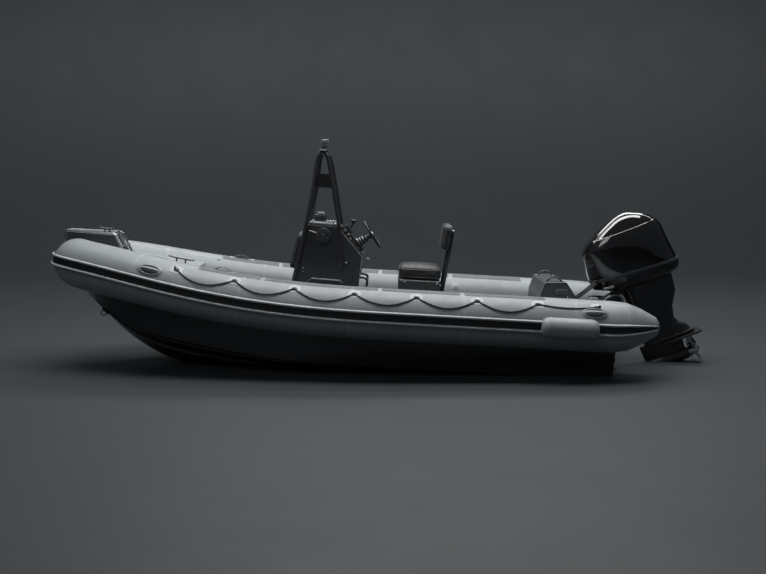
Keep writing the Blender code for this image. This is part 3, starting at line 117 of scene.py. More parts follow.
class Shader:
    """A Principled material with a few helpers for its texture nodes."""

    def __init__(self, name, rough, metal=0.0, coat=0.0, sheen=0.0):
        self.mat = bpy.data.materials.new(name)
        self.mat.use_nodes = True
        self.tree = self.mat.node_tree
        self.out = self.tree.nodes["Principled BSDF"]
        self.out.inputs["Metallic"].default_value = metal
        self.out.inputs["Roughness"].default_value = rough
        self.out.inputs["Coat Weight"].default_value = coat
        self.out.inputs["Coat Roughness"].default_value = 0.05
        self.out.inputs["Sheen Weight"].default_value = sheen
        self.place = self.node("ShaderNodeTexCoord").outputs["Object"]
        self.normal = None

    def node(self, kind, **inputs):
        made = self.tree.nodes.new(kind)
        for key, value in inputs.items():
            made.inputs[key.replace("_", " ")].default_value = value
        return made

    def join(self, source, target):
        self.tree.links.new(source, target)

    def noise(self, scale, detail=3.0, rough=0.55):
        made = self.node("ShaderNodeTexNoise", Scale=scale, Detail=detail, Roughness=rough)
        self.join(self.place, made.inputs["Vector"])
        return made.outputs["Fac"]

    def cells(self, scale, feature="F1"):
        made = self.node("ShaderNodeTexVoronoi", Scale=scale)
        made.feature = feature
        self.join(self.place, made.inputs["Vector"])
        return made.outputs["Distance"]

    def waves(self, scale, direction, distortion=0.0):
        made = self.node("ShaderNodeTexWave", Scale=scale, Distortion=distortion)
        made.bands_direction = direction
        self.join(self.place, made.inputs["Vector"])
        return made.outputs["Fac"]

    def times(self, a, b, operation="MULTIPLY"):
        made = self.node("ShaderNodeMath")
        made.operation = operation
        self.join(a, made.inputs[0])
        self.join(b, made.inputs[1])
        return made.outputs[0]

    def spread(self, source, low, high, start=0.3, end=0.7):
        made = self.node("ShaderNodeMapRange")
        made.inputs["From Min"].default_value = start
        made.inputs["From Max"].default_value = end
        made.inputs["To Min"].default_value = low
        made.inputs["To Max"].default_value = high
        self.join(source, made.inputs["Value"])
        return made.outputs["Result"]

    def colour(self, source, low, high, start=0.3, end=0.7):
        """Base colour between two tones, where `source` goes from start to end."""
        ramp = self.node("ShaderNodeValToRGB")
        ramp.color_ramp.elements[0].position = start
        ramp.color_ramp.elements[0].color = (*low, 1.0)
        ramp.color_ramp.elements[1].position = end
        ramp.color_ramp.elements[1].color = (*high, 1.0)
        self.join(source, ramp.inputs["Fac"])
        self.join(ramp.outputs["Color"], self.out.inputs["Base Color"])

    def rough(self, source, low, high):
        self.join(self.spread(source, low, high), self.out.inputs["Roughness"])

    def bump(self, source, strength, distance):
        made = self.node("ShaderNodeBump", Strength=strength, Distance=distance)
        self.join(source, made.inputs["Height"])
        if self.normal:
            self.join(self.normal, made.inputs["Normal"])
        self.normal = made.outputs["Normal"]
        self.join(self.normal, self.out.inputs["Normal"])


def tones(colour, amount):
    return tuple(c * (1 - amount) for c in colour), tuple(min(1.0, c * (1 + amount)) for c in colour)


def coated_fabric(name, colour, rough=0.46):
    """Rubber-coated cloth: a fine weave under a satin skin, with faint handling marks."""
    made = Shader(name, rough, sheen=0.08)
    marks = made.noise(2.6, 6.0, 0.62)
    made.colour(marks, *tones(colour, 0.07))
    made.rough(made.noise(9.0, 5.0), rough - 0.07, rough + 0.09)
    weave = made.times(made.waves(420.0, "X"), made.waves(420.0, "Z"))
    made.bump(weave, 0.10, 0.0004)
    made.bump(made.noise(14.0, 4.0), 0.05, 0.004)
    return made.mat


def rubber(name, colour, rough=0.5, grain=300.0):
    made = Shader(name, rough)
    made.colour(made.noise(7.0, 6.0), *tones(colour, 0.14))
    made.rough(made.noise(22.0, 4.0), rough - 0.08, rough + 0.10)
    made.bump(made.noise(grain, 3.0), 0.12, 0.0006)
    return made.mat


def moulded(name, colour, rough=0.4, coat=0.0, grain=220.0, depth=0.12):
    """Moulded or painted panel: orange peel, small changes of gloss, and edges rubbed a little lighter."""
    made = Shader(name, rough, coat=coat)
    edge = made.node("ShaderNodeNewGeometry").outputs["Pointiness"]
    rubbed = made.times(made.spread(edge, 0.0, 1.0, 0.50, 0.60), made.noise(30.0, 5.0))
    worn = made.times(rubbed, made.spread(made.noise(3.0, 5.0), 0.0, 0.25), "ADD")
    made.colour(worn, colour, tuple(min(1.0, c * 2.2 + 0.012) for c in colour), 0.05, 0.9)
    made.rough(made.noise(6.0, 5.0), rough - 0.05, rough + 0.07)
    made.bump(made.noise(grain, 2.0), depth, 0.0005)
    return made.mat


def metal(name, colour, rough, grain=600.0):
    made = Shader(name, rough, metal=1.0)
    made.colour(made.noise(11.0, 5.0), *tones(colour, 0.08))
    made.rough(made.noise(35.0, 5.0), rough - 0.05, rough + 0.10)
    made.bump(made.noise(grain, 2.0), 0.05, 0.0003)
    return made.mat


def vinyl(name, colour, rough=0.46):
    made = Shader(name, rough, sheen=0.05)
    made.colour(made.noise(8.0, 6.0), *tones(colour, 0.18))
    made.rough(made.noise(16.0, 4.0), rough - 0.06, rough + 0.10)
    made.bump(made.cells(330.0, "DISTANCE_TO_EDGE"), 0.35, 0.0007)
    made.bump(made.noise(24.0, 4.0), 0.08, 0.003)
    return made.mat


def treaded(name, colour, scale, rough=0.75):
    """Non-slip surface: rows of small diamonds, with a tone that varies at random."""
    made = Shader(name, rough)
    diamonds = made.times(made.waves(scale, "DIAGONAL"), made.waves(scale * 0.9, "Y"), "ADD")
    made.colour(made.noise(5.0, 6.0), *tones(colour, 0.12))
    made.rough(made.noise(18.0, 4.0), rough - 0.10, rough + 0.08)
    made.bump(diamonds, 0.45, 0.0010)
    made.bump(made.noise(500.0, 2.0), 0.20, 0.0005)
    return made.mat


def woven(name, colour, scale=500.0, rough=0.8):
    made = Shader(name, rough, sheen=0.15)
    threads = made.times(made.waves(scale, "X", 0.4), made.waves(scale, "Y", 0.4), "ADD")
    made.colour(threads, *tones(colour, 0.35), 0.3, 1.4)
    made.bump(threads, 0.5, 0.0006)
    return made.mat


MAT = {
    "collar": coated_fabric("collar_fabric", (0.215, 0.237, 0.250)),
    "tape": coated_fabric("seam_tape", (0.240, 0.263, 0.276), 0.42),
    "pad": coated_fabric("bonded_patch", (0.34, 0.365, 0.38), 0.40),
    "ring_pad": rubber("moulded_pad", (0.200, 0.220, 0.232), 0.42),
    "tread": treaded("collar_tread", (0.115, 0.128, 0.136), 150.0),
    "band": rubber("strake_rubber", (0.012, 0.0125, 0.014), 0.45),
    # the strake ridges' light grey is a painted highlight: it stands for the light that black rubber ridges
    # catch from above
    "ridge_painted_highlight": rubber("strake_ridge_painted_highlight", (0.36, 0.38, 0.39), 0.34),
    "rubber": rubber("black_rubber", (0.014, 0.0145, 0.016), 0.5),
    "hull": moulded("hull_gelcoat", (0.0045, 0.005, 0.006), 0.16, 0.3, 40.0, 0.02),
    "deck": treaded("deck_tread", (0.060, 0.063, 0.067), 110.0),
    "moulding": moulded("console_moulding", (0.020, 0.022, 0.025), 0.40),
    "panel": moulded("panel_moulding", (0.032, 0.035, 0.039), 0.46),
    "tray": moulded("tray_moulding", (0.115, 0.122, 0.128), 0.36),
    "rail": moulded("powder_coat", (0.014, 0.0145, 0.016), 0.30, 0.2, 400.0, 0.10),
    "silver": metal("brushed_rail", (0.46, 0.47, 0.48), 0.30),
    "steel": metal("stainless", (0.60, 0.61, 0.62), 0.16),
    "dark_steel": metal("dark_steel", (0.16, 0.165, 0.17), 0.34),
    "vinyl": vinyl("cushion_vinyl", (0.020, 0.0215, 0.024)),
    "piping": vinyl("cushion_piping", (0.075, 0.079, 0.084), 0.40),
    "cowl": moulded("cowl_gloss", (0.0035, 0.0037, 0.0043), 0.07, 1.0, 30.0, 0.01),
    "leg": moulded("outboard_paint", (0.010, 0.0105, 0.012), 0.34, 0.2, 260.0, 0.08),
    "lens": moulded("lamp_lens", (0.10, 0.107, 0.112), 0.22, 0.5, 60.0, 0.02),
    "webbing": woven("webbing", (0.028, 0.029, 0.031)),
    "rope": woven("rope_braid", (0.016, 0.0165, 0.018), 700.0),
    "white": moulded("blank_plate", (0.66, 0.67, 0.68), 0.35),
    "boot": rubber("cable_boot", (0.20, 0.21, 0.22), 0.45),
    "pink": vinyl("pale_tag", (0.62, 0.44, 0.42), 0.5),
    "glass": moulded("gauge_glass", (0.02, 0.024, 0.028), 0.05, 1.0, 20.0, 0.0),
}

# Mesh helpers

Y_AXIS, Z_AXIS = Vector((0, 1, 0)), Vector((0, 0, 1))


def circle(centre, a, b, count):
    """Once round centre + a cos t + b sin t."""
    angles = (2 * math.pi * k / count for k in range(count))
    return [centre + a * math.cos(t) + b * math.sin(t) for t in angles]


def squircle(t, power):
    """Cosine and sine for a superellipse."""
    c, s = math.cos(t), math.sin(t)
    return math.copysign(abs(c) ** (2 / power), c), math.copysign(abs(s) ** (2 / power), s)


def flipped(p):
    return Vector((p.x, -p.y, p.z))


def rounded_loop(half_x, half_y, height, corner, count):
    """Rectangle with round corners."""
    loop = []
    for sx, sy, start in ((1, 1, 0), (-1, 1, 90), (-1, -1, 180), (1, -1, 270)):
        for k in range(count + 1):
            t = math.radians(start + 90 * k / count)
            loop.append(Vector((sx * (half_x - corner) + corner * math.cos(t),
                                sy * (half_y - corner) + corner * math.sin(t), height)))
    return loop


def eased(half, ease, share=0.30):
    """Inset and height of each ring of a block with eased edges, from the bottom up."""
    low = [(ease, -half), (ease * share, -half + ease * 0.30), (0, -half + ease)]
    return low + [(inset, -z) for inset, z in reversed(low)]


class Shape:
    """Collects closed lofts, tubes and turned forms into one mesh."""

    def __init__(self, frame=TRIM):
        self.verts = []
        self.faces = []
        self.frame = frame

    def rings(self, rows, caps=(True, True), closed=True):
        start = len(self.verts)
        count = len(rows[0])
        for row in rows:
            self.verts += [Vector(p) for p in row]
        for k in range(len(rows) - 1):
            for m in range(count if closed else count - 1):
                n = (m + 1) % count
                a = start + k * count
                self.faces.append((a + m, a + n, a + count + n, a + count + m))
        if caps[0]:
            self.faces.append(tuple(start + m for m in reversed(range(count))))
        if caps[1]:
            self.faces.append(tuple(start + (len(rows) - 1) * count + m for m in range(count)))
        return self

    def tube(self, points, radius, sides=12, loop=False, flat=1.0, first=None):
        """A round or flattened tube through the points; `radius` may be one value a point."""
        points = [Vector(p) for p in points]
        count = len(points)
        radii = radius if isinstance(radius, (list, tuple)) else [radius] * count
        normal = None
        rows = []
        for k, at in enumerate(points):
            before = points[(k - 1) % count] if loop or k else at
            after = points[(k + 1) % count] if loop or k < count - 1 else at
            along = (after - before).normalized()
            if normal is None:
                guess = first or (Z_AXIS if abs(along.z) < 0.9 else Vector((1, 0, 0)))
                normal = (guess - along * along.dot(guess)).normalized()
            normal = (normal - along * along.dot(normal)).normalized()
            rows.append(circle(at, normal * flat * radii[k], along.cross(normal) * radii[k], sides))
        if loop:
            return self.rings(rows + rows[:1], (False, False))
        return self.rings(rows)

    def bent(self, points, per, radius, sides):
        """A tube along a smooth line through the points."""
        return self.tube(smooth_line(points, per), radius, sides)

    def turned(self, profile, at=(0, 0, 0), axis=Z_AXIS, sides=32):
        """A profile of (along, radius) round an axis."""
        turn = Vector(axis).to_track_quat("Z", "Y").to_matrix()
        return self.rings([circle(Vector(at) + turn @ Vector((0, 0, h)), turn @ Vector((r, 0, 0)),
                                  turn @ Vector((0, r, 0)), sides) for h, r in profile])

    def plate(self, size, at=(0, 0, 0), turn=None, corner=0.25, edge=0.15):
        """A plate with rounded corners and eased edges; corner and edge are shares of the smaller sides."""
        half = [s / 2 for s in size]
        turn = turn or Matrix.Identity(3)
        radius = corner * min(half[:2])
        rows = []
        for inset, z in eased(half[2], edge * min(half)):
            loop = rounded_loop(half[0] - inset, half[1] - inset, z, max(radius - inset, radius * 0.2), 6)
            rows.append([Vector(at) + turn @ p for p in loop])
        return self.rings(rows)

    def done(self, name, mat, body="hull", slot=None, sharp=40):
        mesh = bpy.data.meshes.new(name)
        mesh.from_pydata([self.frame @ v for v in self.verts], [], self.faces)
        bm = bmesh.new()
        bm.from_mesh(mesh)
        bmesh.ops.remove_doubles(bm, verts=bm.verts, dist=1e-6)
        bmesh.ops.recalc_face_normals(bm, faces=bm.faces)
        bm.to_mesh(mesh)
        bm.free()
        mesh.materials.append(MAT[mat])
        mesh.shade_smooth()
        mesh.set_sharp_from_angle(angle=math.radians(sharp))
        ob = bpy.data.objects.new(name, mesh)
        SCENE.collection.objects.link(ob)
        if body:
            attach(ob, body)
        return ob


def smooth_line(points, per):
    """Catmull-Rom through the points, `per` steps from one to the next."""
    points = [Vector(p) for p in points]
    padded = points[:1] + points + points[-1:]
    out = []
    for p0, p1, p2, p3 in zip(padded, padded[1:], padded[2:], padded[3:]):
        for m in range(per):
            t = m / per
            out.append(0.5 * ((2 * p1) + (p2 - p0) * t + (2 * p0 - 5 * p1 + 4 * p2 - p3) * t * t
                              + (3 * p1 - p0 - 3 * p2 + p3) * t ** 3))
    return out + points[-1:]


def monotone(xs, ys):
    """A smooth curve through the points that never overshoots them."""
    steps = [b - a for a, b in zip(xs, xs[1:])]
    slopes = [(b - a) / h for a, b, h in zip(ys, ys[1:], steps)]
    inner = [0.0 if p * q <= 0 else 2 * p * q / (p + q) for p, q in zip(slopes, slopes[1:])]
    ends = [slopes[0]] + inner + [slopes[-1]]

    def value(x):
        k = max(0, min(len(steps) - 1, sum(1 for knot in xs[1:] if x >= knot)))
        t = (x - xs[k]) / steps[k]
        return ((1 + 2 * t) * (1 - t) ** 2 * ys[k] + t * (1 - t) ** 2 * steps[k] * ends[k]
                + t * t * (3 - 2 * t) * ys[k + 1] + t * t * (t - 1) * steps[k] * ends[k + 1])

    return value


def columns(table):
    """Smooth curves of a table's other columns over its first one."""
    first, *rest = zip(*table)
    return [monotone(first, values) for values in rest]


# Collar surface


def sheer_z(x):
    rise = max(0.0, (SHEER_START_X - x) / (SHEER_START_X - BOW_X))
    return TUBE_Z + BOW_RISE * rise ** SHEER_POWER * (1.5 - 0.5 * rise ** 4)


def half_span(x):
    share = min(1.0, max(0.0, (BOW_START_X - x) / (BOW_START_X - BOW_X)))
    return HALF_SPAN * (1.0 - share ** BOW_FULL_X) ** (1.0 / BOW_FULL_Y)


def spine(turn):
    """Centre and radius of the port tube.  Below 0, turn is the way aft of the bow curve; pi/2 the nose."""
    if turn <= 0:
        x = BOW_START_X - turn
        aft = max(0.0, x - TAIL_X)
        rise, share = TAIL_CONE[-1][1:]
        for near, far in zip(TAIL_CONE, TAIL_CONE[1:]):
            if near[0] <= aft <= far[0]:
                s = (aft - near[0]) / (far[0] - near[0])
                rise, share = near[1] + (far[1] - near[1]) * s, near[2] + (far[2] - near[2]) * s
        return Vector((x, -HALF_SPAN, TUBE_Z + rise)), TUBE_R * share
    x = BOW_START_X - (BOW_START_X - BOW_X) * math.sin(turn)
    side = -1 if turn <= math.pi / 2 else 1
    return Vector((x, side * half_span(x), sheer_z(x))), TUBE_R


def ring_frame(turn, roll=0.0):
    centre, radius = spine(turn)
    ahead = (spine(turn + 0.004)[0] - spine(turn - 0.004)[0]).normalized()
    if turn > math.pi / 2 - 1e-6:
        ahead = Y_AXIS.copy()
    out = Z_AXIS.cross(ahead).normalized()
    share = max(0.0, (SHEER_START_X - centre.x) / (SHEER_START_X - BOW_X))
    out = Matrix.Rotation(roll * share ** 2, 3, ahead) @ out
    return centre, radius, out, ahead.cross(out), ahead


def turn_at(x):
    if x >= BOW_START_X:
        return BOW_START_X - x
    return math.asin(min(1.0, (BOW_START_X - x) / (BOW_START_X - BOW_X)))


def on_collar(x, side, angle, lift=0.0):
    """Point, normal and forward direction on the collar at x, `angle` degrees up from outboard."""
    centre, radius, out, up, ahead = ring_frame(turn_at(x))
    t = math.radians(angle)
    normal = out * math.cos(t) + up * math.sin(t)
    point = centre + normal * (radius + lift)
    return tuple(flipped(v) if side > 0 else v for v in (point, normal, ahead))


def mirrored(rows):
    return rows + [[flipped(p) for p in row] for row in reversed(rows[:-1])]


TAIL_TURNS = [BOW_START_X - TAIL_X - d for d in (
    0.489, 0.485, 0.478, 0.465, 0.43, 0.39, 0.35, 0.32, 0.29, 0.25, 0.21, 0.18, 0.15, 0.12, 0.09, 0.06, 0.03,
    0.0)]
SIDE_TURNS = [BOW_START_X - TAIL_X + (TAIL_X - BOW_START_X) * k / 24 for k in range(1, 25)]
BOW_TURNS = [math.pi / 2 * k / 60 for k in range(1, 61)]
TURNS = TAIL_TURNS + SIDE_TURNS + BOW_TURNS
AROUND = [math.radians(5.0 * k) for k in range(72)]


def collar_strip(turns, lift):
    return [[c + (o * math.cos(t) + u * math.sin(t)) * (r + lift) for t in AROUND]
            for c, r, o, u, _ in (ring_frame(turn) for turn in turns)]


collar = Shape().rings(mirrored(collar_strip(TURNS, 0.0)))
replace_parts(collar.done("collar", "collar"), "tube_collar")

# Seam tapes round the tubes
TAPE_HALF, TAPE_LIFT, TAPE_EDGE = 0.019, 0.0012, 0.001
tapes = Shape()
for x in (-2.10, -1.02, 0.06, 1.14, 2.22, 2.755):
    rows = [collar_strip([turn_at(x + d)], lift)[0] for d, lift in (
        (-TAPE_HALF, 0.0), (TAPE_EDGE - TAPE_HALF, TAPE_LIFT),
        (TAPE_HALF - TAPE_EDGE, TAPE_LIFT), (TAPE_HALF, 0.0))]
    tapes.rings(rows, (False, False))
    tapes.rings([[flipped(p) for p in row] for row in rows], (False, False))
tapes.done("seam_tapes", "tape", slot="collar")


def patch(shape, x, side, angle, half_along, half_round, profile, power=2.0, sides=40):
    """A pad that follows the collar: profile of (share of the size, lift) from rim to middle."""
    rows = []
    for share, lift in profile:
        row = []
        for k in range(sides):
            u, v = squircle(2 * math.pi * k / sides, power)
            turn = math.degrees(v * half_round * share / TUBE_R)
            row.append(on_collar(x + u * half_along * share, side, angle + turn, lift)[0])
        rows.append(row)
    shape.rings(rows, (False, True))


SINK = -0.0005                       # how far a pad's rim dips into the fabric
FLAT_PAD = [(1.0, SINK), (0.985, 0.0016), (0.96, 0.0020), (0.55, 0.0020), (0.02, 0.0020)]
BOSS = [(1.0, 0.0015), (0.93, 0.0040), (0.75, 0.0052), (0.02, 0.0055)]

# Eyes of the lifelines: bonded patch, moulded boss and steel ring
EYE_R = 0.0145
pads, bosses, eyes = Shape(), Shape(), Shape()
for side in (-1, 1):
    for x in EYE_X:
        patch(pads, x, side, EYE_ANGLE, 0.062, 0.052, FLAT_PAD, 3.2)
        patch(bosses, x, side, EYE_ANGLE, 0.030, 0.024, BOSS)
        at, normal, ahead = on_collar(x, side, EYE_ANGLE, ROPE_R + EYE_CLEAR)
        eyes.tube(circle(at, normal * EYE_R, normal.cross(ahead) * EYE_R, 20), 0.0036, 8, True)
pads.done("eye_patches", "pad", slot="collar")
bosses.done("eye_bosses", "rubber")
eyes.done("eye_rings", "steel")

# Strake: a dark band and two ridges along it, light grey as a painted highlight, as (out, up) from the tube's
# centre
BAND_HALF, RIDGE_Z = 0.060, 0.047
BAND_LOW = [(0.2515, -BAND_HALF), (0.2590, -BAND_HALF + 0.0005), (0.2655, -BAND_HALF + 0.004),
            (0.2670, -BAND_HALF + 0.008), (0.2670, -0.030), (0.2655, -0.022)]
RIDGE_LOW = [(0.2655, -0.0150), (0.2680, -0.0146), (0.2765, -0.0118), (0.2825, -0.0082), (0.2850, -0.0040)]
BAND = BAND_LOW + [(0.2650, 0.0)] + [(out, -up) for out, up in reversed(BAND_LOW)]
RIDGE = RIDGE_LOW + [(0.2855, 0.0)] + [(out, -up) for out, up in reversed(RIDGE_LOW)]
STRAKE_TURNS = [t for t in TURNS if t > TAIL_TURNS[3] - 1e-6]


def along_collar(profile):
    rows = []
    for turn in STRAKE_TURNS:
        centre, r, out, up, _ = ring_frame(turn, BOW_ROLL)
        rows.append([centre + (out * x + up * z) * (r / TUBE_R) for x, z in profile])
    return mirrored(rows)


band = Shape().rings(along_collar(BAND))
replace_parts(band.done("strake_band", "band", slot="rubber", sharp=50), "rub_strake")
ridges = Shape()
for level in (-RIDGE_Z, RIDGE_Z):
    ridges.rings(along_collar([(x, level + z) for x, z in RIDGE]))
ridges.done("strake_ridges", "ridge_painted_highlight", slot="rubber", sharp=60)

# Non-slip strips on top of the side tubes
STRIPS = ((-1.50, -0.86), (-0.82, 0.30), (0.34, 1.10), (1.14, 1.93))
STRIP_ANGLES = [68.0 + 52.0 * k / 16 for k in range(17)]
STRIP_LIFT, STRIP_EDGE = 0.0020, 0.002
strips = Shape()
for side in (-1, 1):
    for x0, x1 in STRIPS:
        inner = [x0 + STRIP_EDGE] + [x0 + (x1 - x0) * k / 12 for k in range(1, 12)] + [x1 - STRIP_EDGE]
        stations = [(x0, SINK)] + [(x, STRIP_LIFT) for x in inner] + [(x1, SINK)]
        rows = [[on_collar(x, side, angle, lift if 0 < k < 16 else SINK)[0]
                 for k, angle in enumerate(STRIP_ANGLES)] for x, lift in stations]
        strips.rings(rows, (False, False), closed=False)
strips.done("tread_strips", "tread", slot="collar")

# Lifelines: laid rope through the eyes, in swags that lie on the fabric
SWAG_STEPS = 90
ROPE_SIDES = 14
ROPE_LAY = 0.2                       # turns of the lay from one step to the next
KNOT = ((0.004, 0.0065), (0.008, 0.0105), (0.014, 0.0130), (0.022, 0.0135), (0.030, 0.0120),
        (0.036, 0.0085), (0.040, 0.0045))
for side, word in SIDES:
    points = []
    for a, b in zip(EYE_X, EYE_X[1:]):
        low = LAST_SWAG_ANGLE if b == EYE_X[-1] else SWAG_ANGLE
        for k in range(SWAG_STEPS):
            s = k / SWAG_STEPS
            angle = EYE_ANGLE - (EYE_ANGLE - low) * (1 - (2 * s - 1) ** 2)
            near_eye = max(0.0, 1 - min(s, 1 - s) / 0.05)
            lift = ROPE_R + ROPE_CLEAR + EYE_CLEAR * near_eye ** 2
            points.append(on_collar(a + (b - a) * s, side, angle, lift)[0])
    points.append(on_collar(EYE_X[-1], side, EYE_ANGLE, ROPE_R + EYE_CLEAR)[0])
    rows = []
    for k, at in enumerate(points):
        along = (points[min(k + 1, len(points) - 1)] - points[max(k - 1, 0)]).normalized()
        normal = (Z_AXIS - along * along.z).normalized()
        across = along.cross(normal)
        row = []
        for m in range(ROPE_SIDES):
            t = 2 * math.pi * m / ROPE_SIDES
            r = ROPE_R * (0.90 + 0.10 * abs(math.cos(1.5 * (t - 2 * math.pi * k * ROPE_LAY))))
            row.append(at + (normal * math.cos(t) + across * math.sin(t)) * r)
        rows.append(row)
    rope = Shape().rings(rows)
    # stopper knots beside the first and the last eye
    for at, inward in ((points[0], points[2]), (points[-1], points[-3])):
        away = (at - inward).normalized()
        rope.tube([at + away * d for d, _ in KNOT], [r for _, r in KNOT], 14)
    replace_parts(rope.done("rope_" + word, "rope", sharp=70), "lifeline_" + word)

# Lift handles: an oval moulded pad with a dark recess and a grip
HANDLE_PAD = [(1.0, SINK), (0.985, 0.0022), (0.93, 0.0032), (0.86, 0.0036), (0.83, 0.0085), (0.78, 0.0135),
              (0.70, 0.0145), (0.655, 0.0125), (0.64, 0.0085), (0.62, 0.0062), (0.02, 0.0062)]
RECESS = [(1.0, 0.0064), (0.97, 0.0072), (0.02, 0.0074)]
GRIP_HALF = [(-0.092, 0.010), (-0.086, 0.020), (-0.070, 0.030), (-0.035, 0.0355)]
GRIP = GRIP_HALF + [(0, 0.036)] + [(-along, lift) for along, lift in reversed(GRIP_HALF)]
grips, recesses = Shape(), Shape()
for side, word in SIDES:
    for end, x, angle in HANDLES:
        pad = Shape()
        patch(pad, x, side, angle, 0.135, 0.066, HANDLE_PAD, 2.3, 56)
        name = "lift_handle_" + end + "_" + word
        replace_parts(pad.done("handle_pad_" + end + "_" + word, "ring_pad", slot="rubber"), name)
        patch(recesses, x, side, angle, 0.085, 0.040, RECESS, 2.3, 48)
        at, normal, ahead = on_collar(x, side, angle)
        line = smooth_line([at + ahead * s + normal * h for s, h in GRIP], 5)
        grips.tube(line, 0.0105, 14, flat=0.72, first=normal.cross(ahead).cross(ahead))
recesses.done("handle_recesses", "rubber")
grips.done("handle_grips", "pad", slot="rubber")

# Webbing straps on the forward tubes, with bonded end patches
STRAP_HALF_WIDTH, STRAP_HALF_THICK = 0.019, 0.0014
STRAP_PAD = [(1.0, SINK), (0.97, 0.0034), (0.9, 0.0040), (0.02, 0.0040)]
ARCH_HALF = [(-0.112, 0.0022), (-0.094, 0.0030), (-0.080, 0.0075), (-0.062, 0.018), (-0.036, 0.031)]
ARCH = ARCH_HALF + [(0, 0.0375)] + [(-along, lift) for along, lift in reversed(ARCH_HALF)]
strap_pads = Shape()
for side, word in SIDES:
    at, normal, ahead = on_collar(STRAP_X, side, STRAP_ANGLE)
    across = normal.cross(ahead).normalized() * STRAP_HALF_WIDTH
    line = smooth_line([at + ahead * s + normal * h for s, h in ARCH], 5)
    rows = []
    for k, p in enumerate(line):
        along = (line[min(k + 1, len(line) - 1)] - line[max(k - 1, 0)]).normalized()
        thick = along.cross(across.normalized()).normalized() * STRAP_HALF_THICK
        rows.append([p + across * u + thick * v for u, v in (
            (-1, 1), (-0.98, 1.1), (0.98, 1.1), (1, 1), (1, -1), (-1, -1))])
    strap = Shape().rings(rows)
    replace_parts(strap.done("strap_" + word, "webbing"), "grab_strap_" + word)
    for d in (-0.103, 0.103):
        patch(strap_pads, STRAP_X + d, side, STRAP_ANGLE, 0.036, 0.036, STRAP_PAD, 4.0)
strap_pads.done("strap_patches", "pad", slot="collar")

# Side fenders: fat fabric rolls strapped over the strake
FENDER_LENGTH = FENDER_X[1] - FENDER_X[0]
# distance from the end, share of the radius
FENDER_END = [(0.0, 0.05), (0.002, 0.30), (0.004, 0.48), (0.010, 0.66), (0.022, 0.81), (0.040, 0.92),
              (0.062, 0.98), (0.085, 1.0)]
FENDER = (FENDER_END + [(FENDER_LENGTH / 2, 1.005)]
          + [(FENDER_LENGTH - d, share) for d, share in reversed(FENDER_END)])
WELD = [(-0.012, -0.01 * FENDER_R), (-0.011, 0.0015), (0.011, 0.0015), (0.012, -0.01 * FENDER_R)]
for side, word in SIDES:
    outer = side * (HALF_SPAN + TUBE_R)
    centre = (FENDER_X[0], outer + side * 0.012, TUBE_Z - 0.002)
    roll = Shape()
    roll.turned([(d, FENDER_R * share) for d, share in FENDER], centre, (1, 0, 0), 56)
    for seam in (0.088, FENDER_LENGTH - 0.088):
        roll.turned([(seam + d, FENDER_R + lift) for d, lift in WELD], centre, (1, 0, 0), 56)
    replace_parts(roll.done("fender_roll_" + word, "collar"), "side_fender_" + word)
    ties = Shape()
    for x in (FENDER_X[0] - 0.028, FENDER_X[1] + 0.028):
        ties.plate((0.052, 0.012, 0.030), (x, outer + side * 0.020, TUBE_Z + 0.004), corner=0.5, edge=0.3)
        ties.turned([(0, 0.006), (0.006, 0.006), (0.007, 0.004)], (x, outer + side * 0.026, TUBE_Z + 0.004),
                    (0, side, 0), 16)
    ties.done("fender_ties_" + word, "rubber")

# Rigid hull: chined V bottom with two spray rails, drawn through the stations without flats
# stations: x, keel height, chine half beam, chine height
HULL_STATIONS = [
    (-2.77, 0.565, 0.07, 0.600), (-2.63, 0.433, 0.18, 0.520), (-2.45, 0.265, 0.30, 0.440),
    (-2.20, 0.085, 0.42, 0.355), (-1.90, -0.060, 0.53, 0.290), (-1.55, -0.130, 0.62, 0.245),
    (-1.10, -0.150, 0.72, 0.185), (-0.50, -0.158, 0.82, 0.140), (0.60, -0.160, 0.86, 0.130),
    (TRANSOM_X, -0.160, 0.86, 0.130)]
RAILS = [(0.42, 0.045), (0.74, 0.026)]       # share of the way to the chine, width
WALL_INSET = TUBE_R + 0.035
FLOOR_Z = 0.304
GUNWALE_DROP = 0.055
hull_curves = columns(HULL_STATIONS)


def hull_section(x):
    keel, chine_y, chine_z = (curve(x) for curve in hull_curves)
    slope = (chine_z - keel) / chine_y
    points = [(0.0, keel)]
    for share, width in RAILS:
        y, w = chine_y * share, min(width, chine_y * 0.1)
        points += [(y, keel + slope * y), (y + w, keel + slope * y), (y + w, keel + slope * (y + w))]
    flat = min(0.07, chine_y * 0.15)
    low = keel + slope * (chine_y - flat)
    span, middle = half_span(x), sheer_z(x)
    side_y = max(span - 0.02, chine_y + 0.005)
    inner, top = max(span - WALL_INSET, 0.02), middle - GUNWALE_DROP
    floor_z = max(FLOOR_Z, keel + 0.10)
    points += [(chine_y - flat, low), (chine_y, low + 0.006), (side_y, middle - TUBE_R * 0.8),
               (side_y - 0.06, top), (inner, top), (inner, floor_z), (0.0, floor_z)]
    port = [Vector((x, -y, z)) for y, z in points]
    return port + [flipped(p) for p in reversed(port[1:-1])]


hull_x = [-2.77 + 0.04 * k for k in range(40)] + [-1.17 + 3.79 * k / 24 for k in range(24)] + [TRANSOM_X]
shell = Shape().rings([hull_section(x) for x in hull_x])
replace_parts(shell.done("hull_shell", "hull", sharp=22), "rigid_hull")

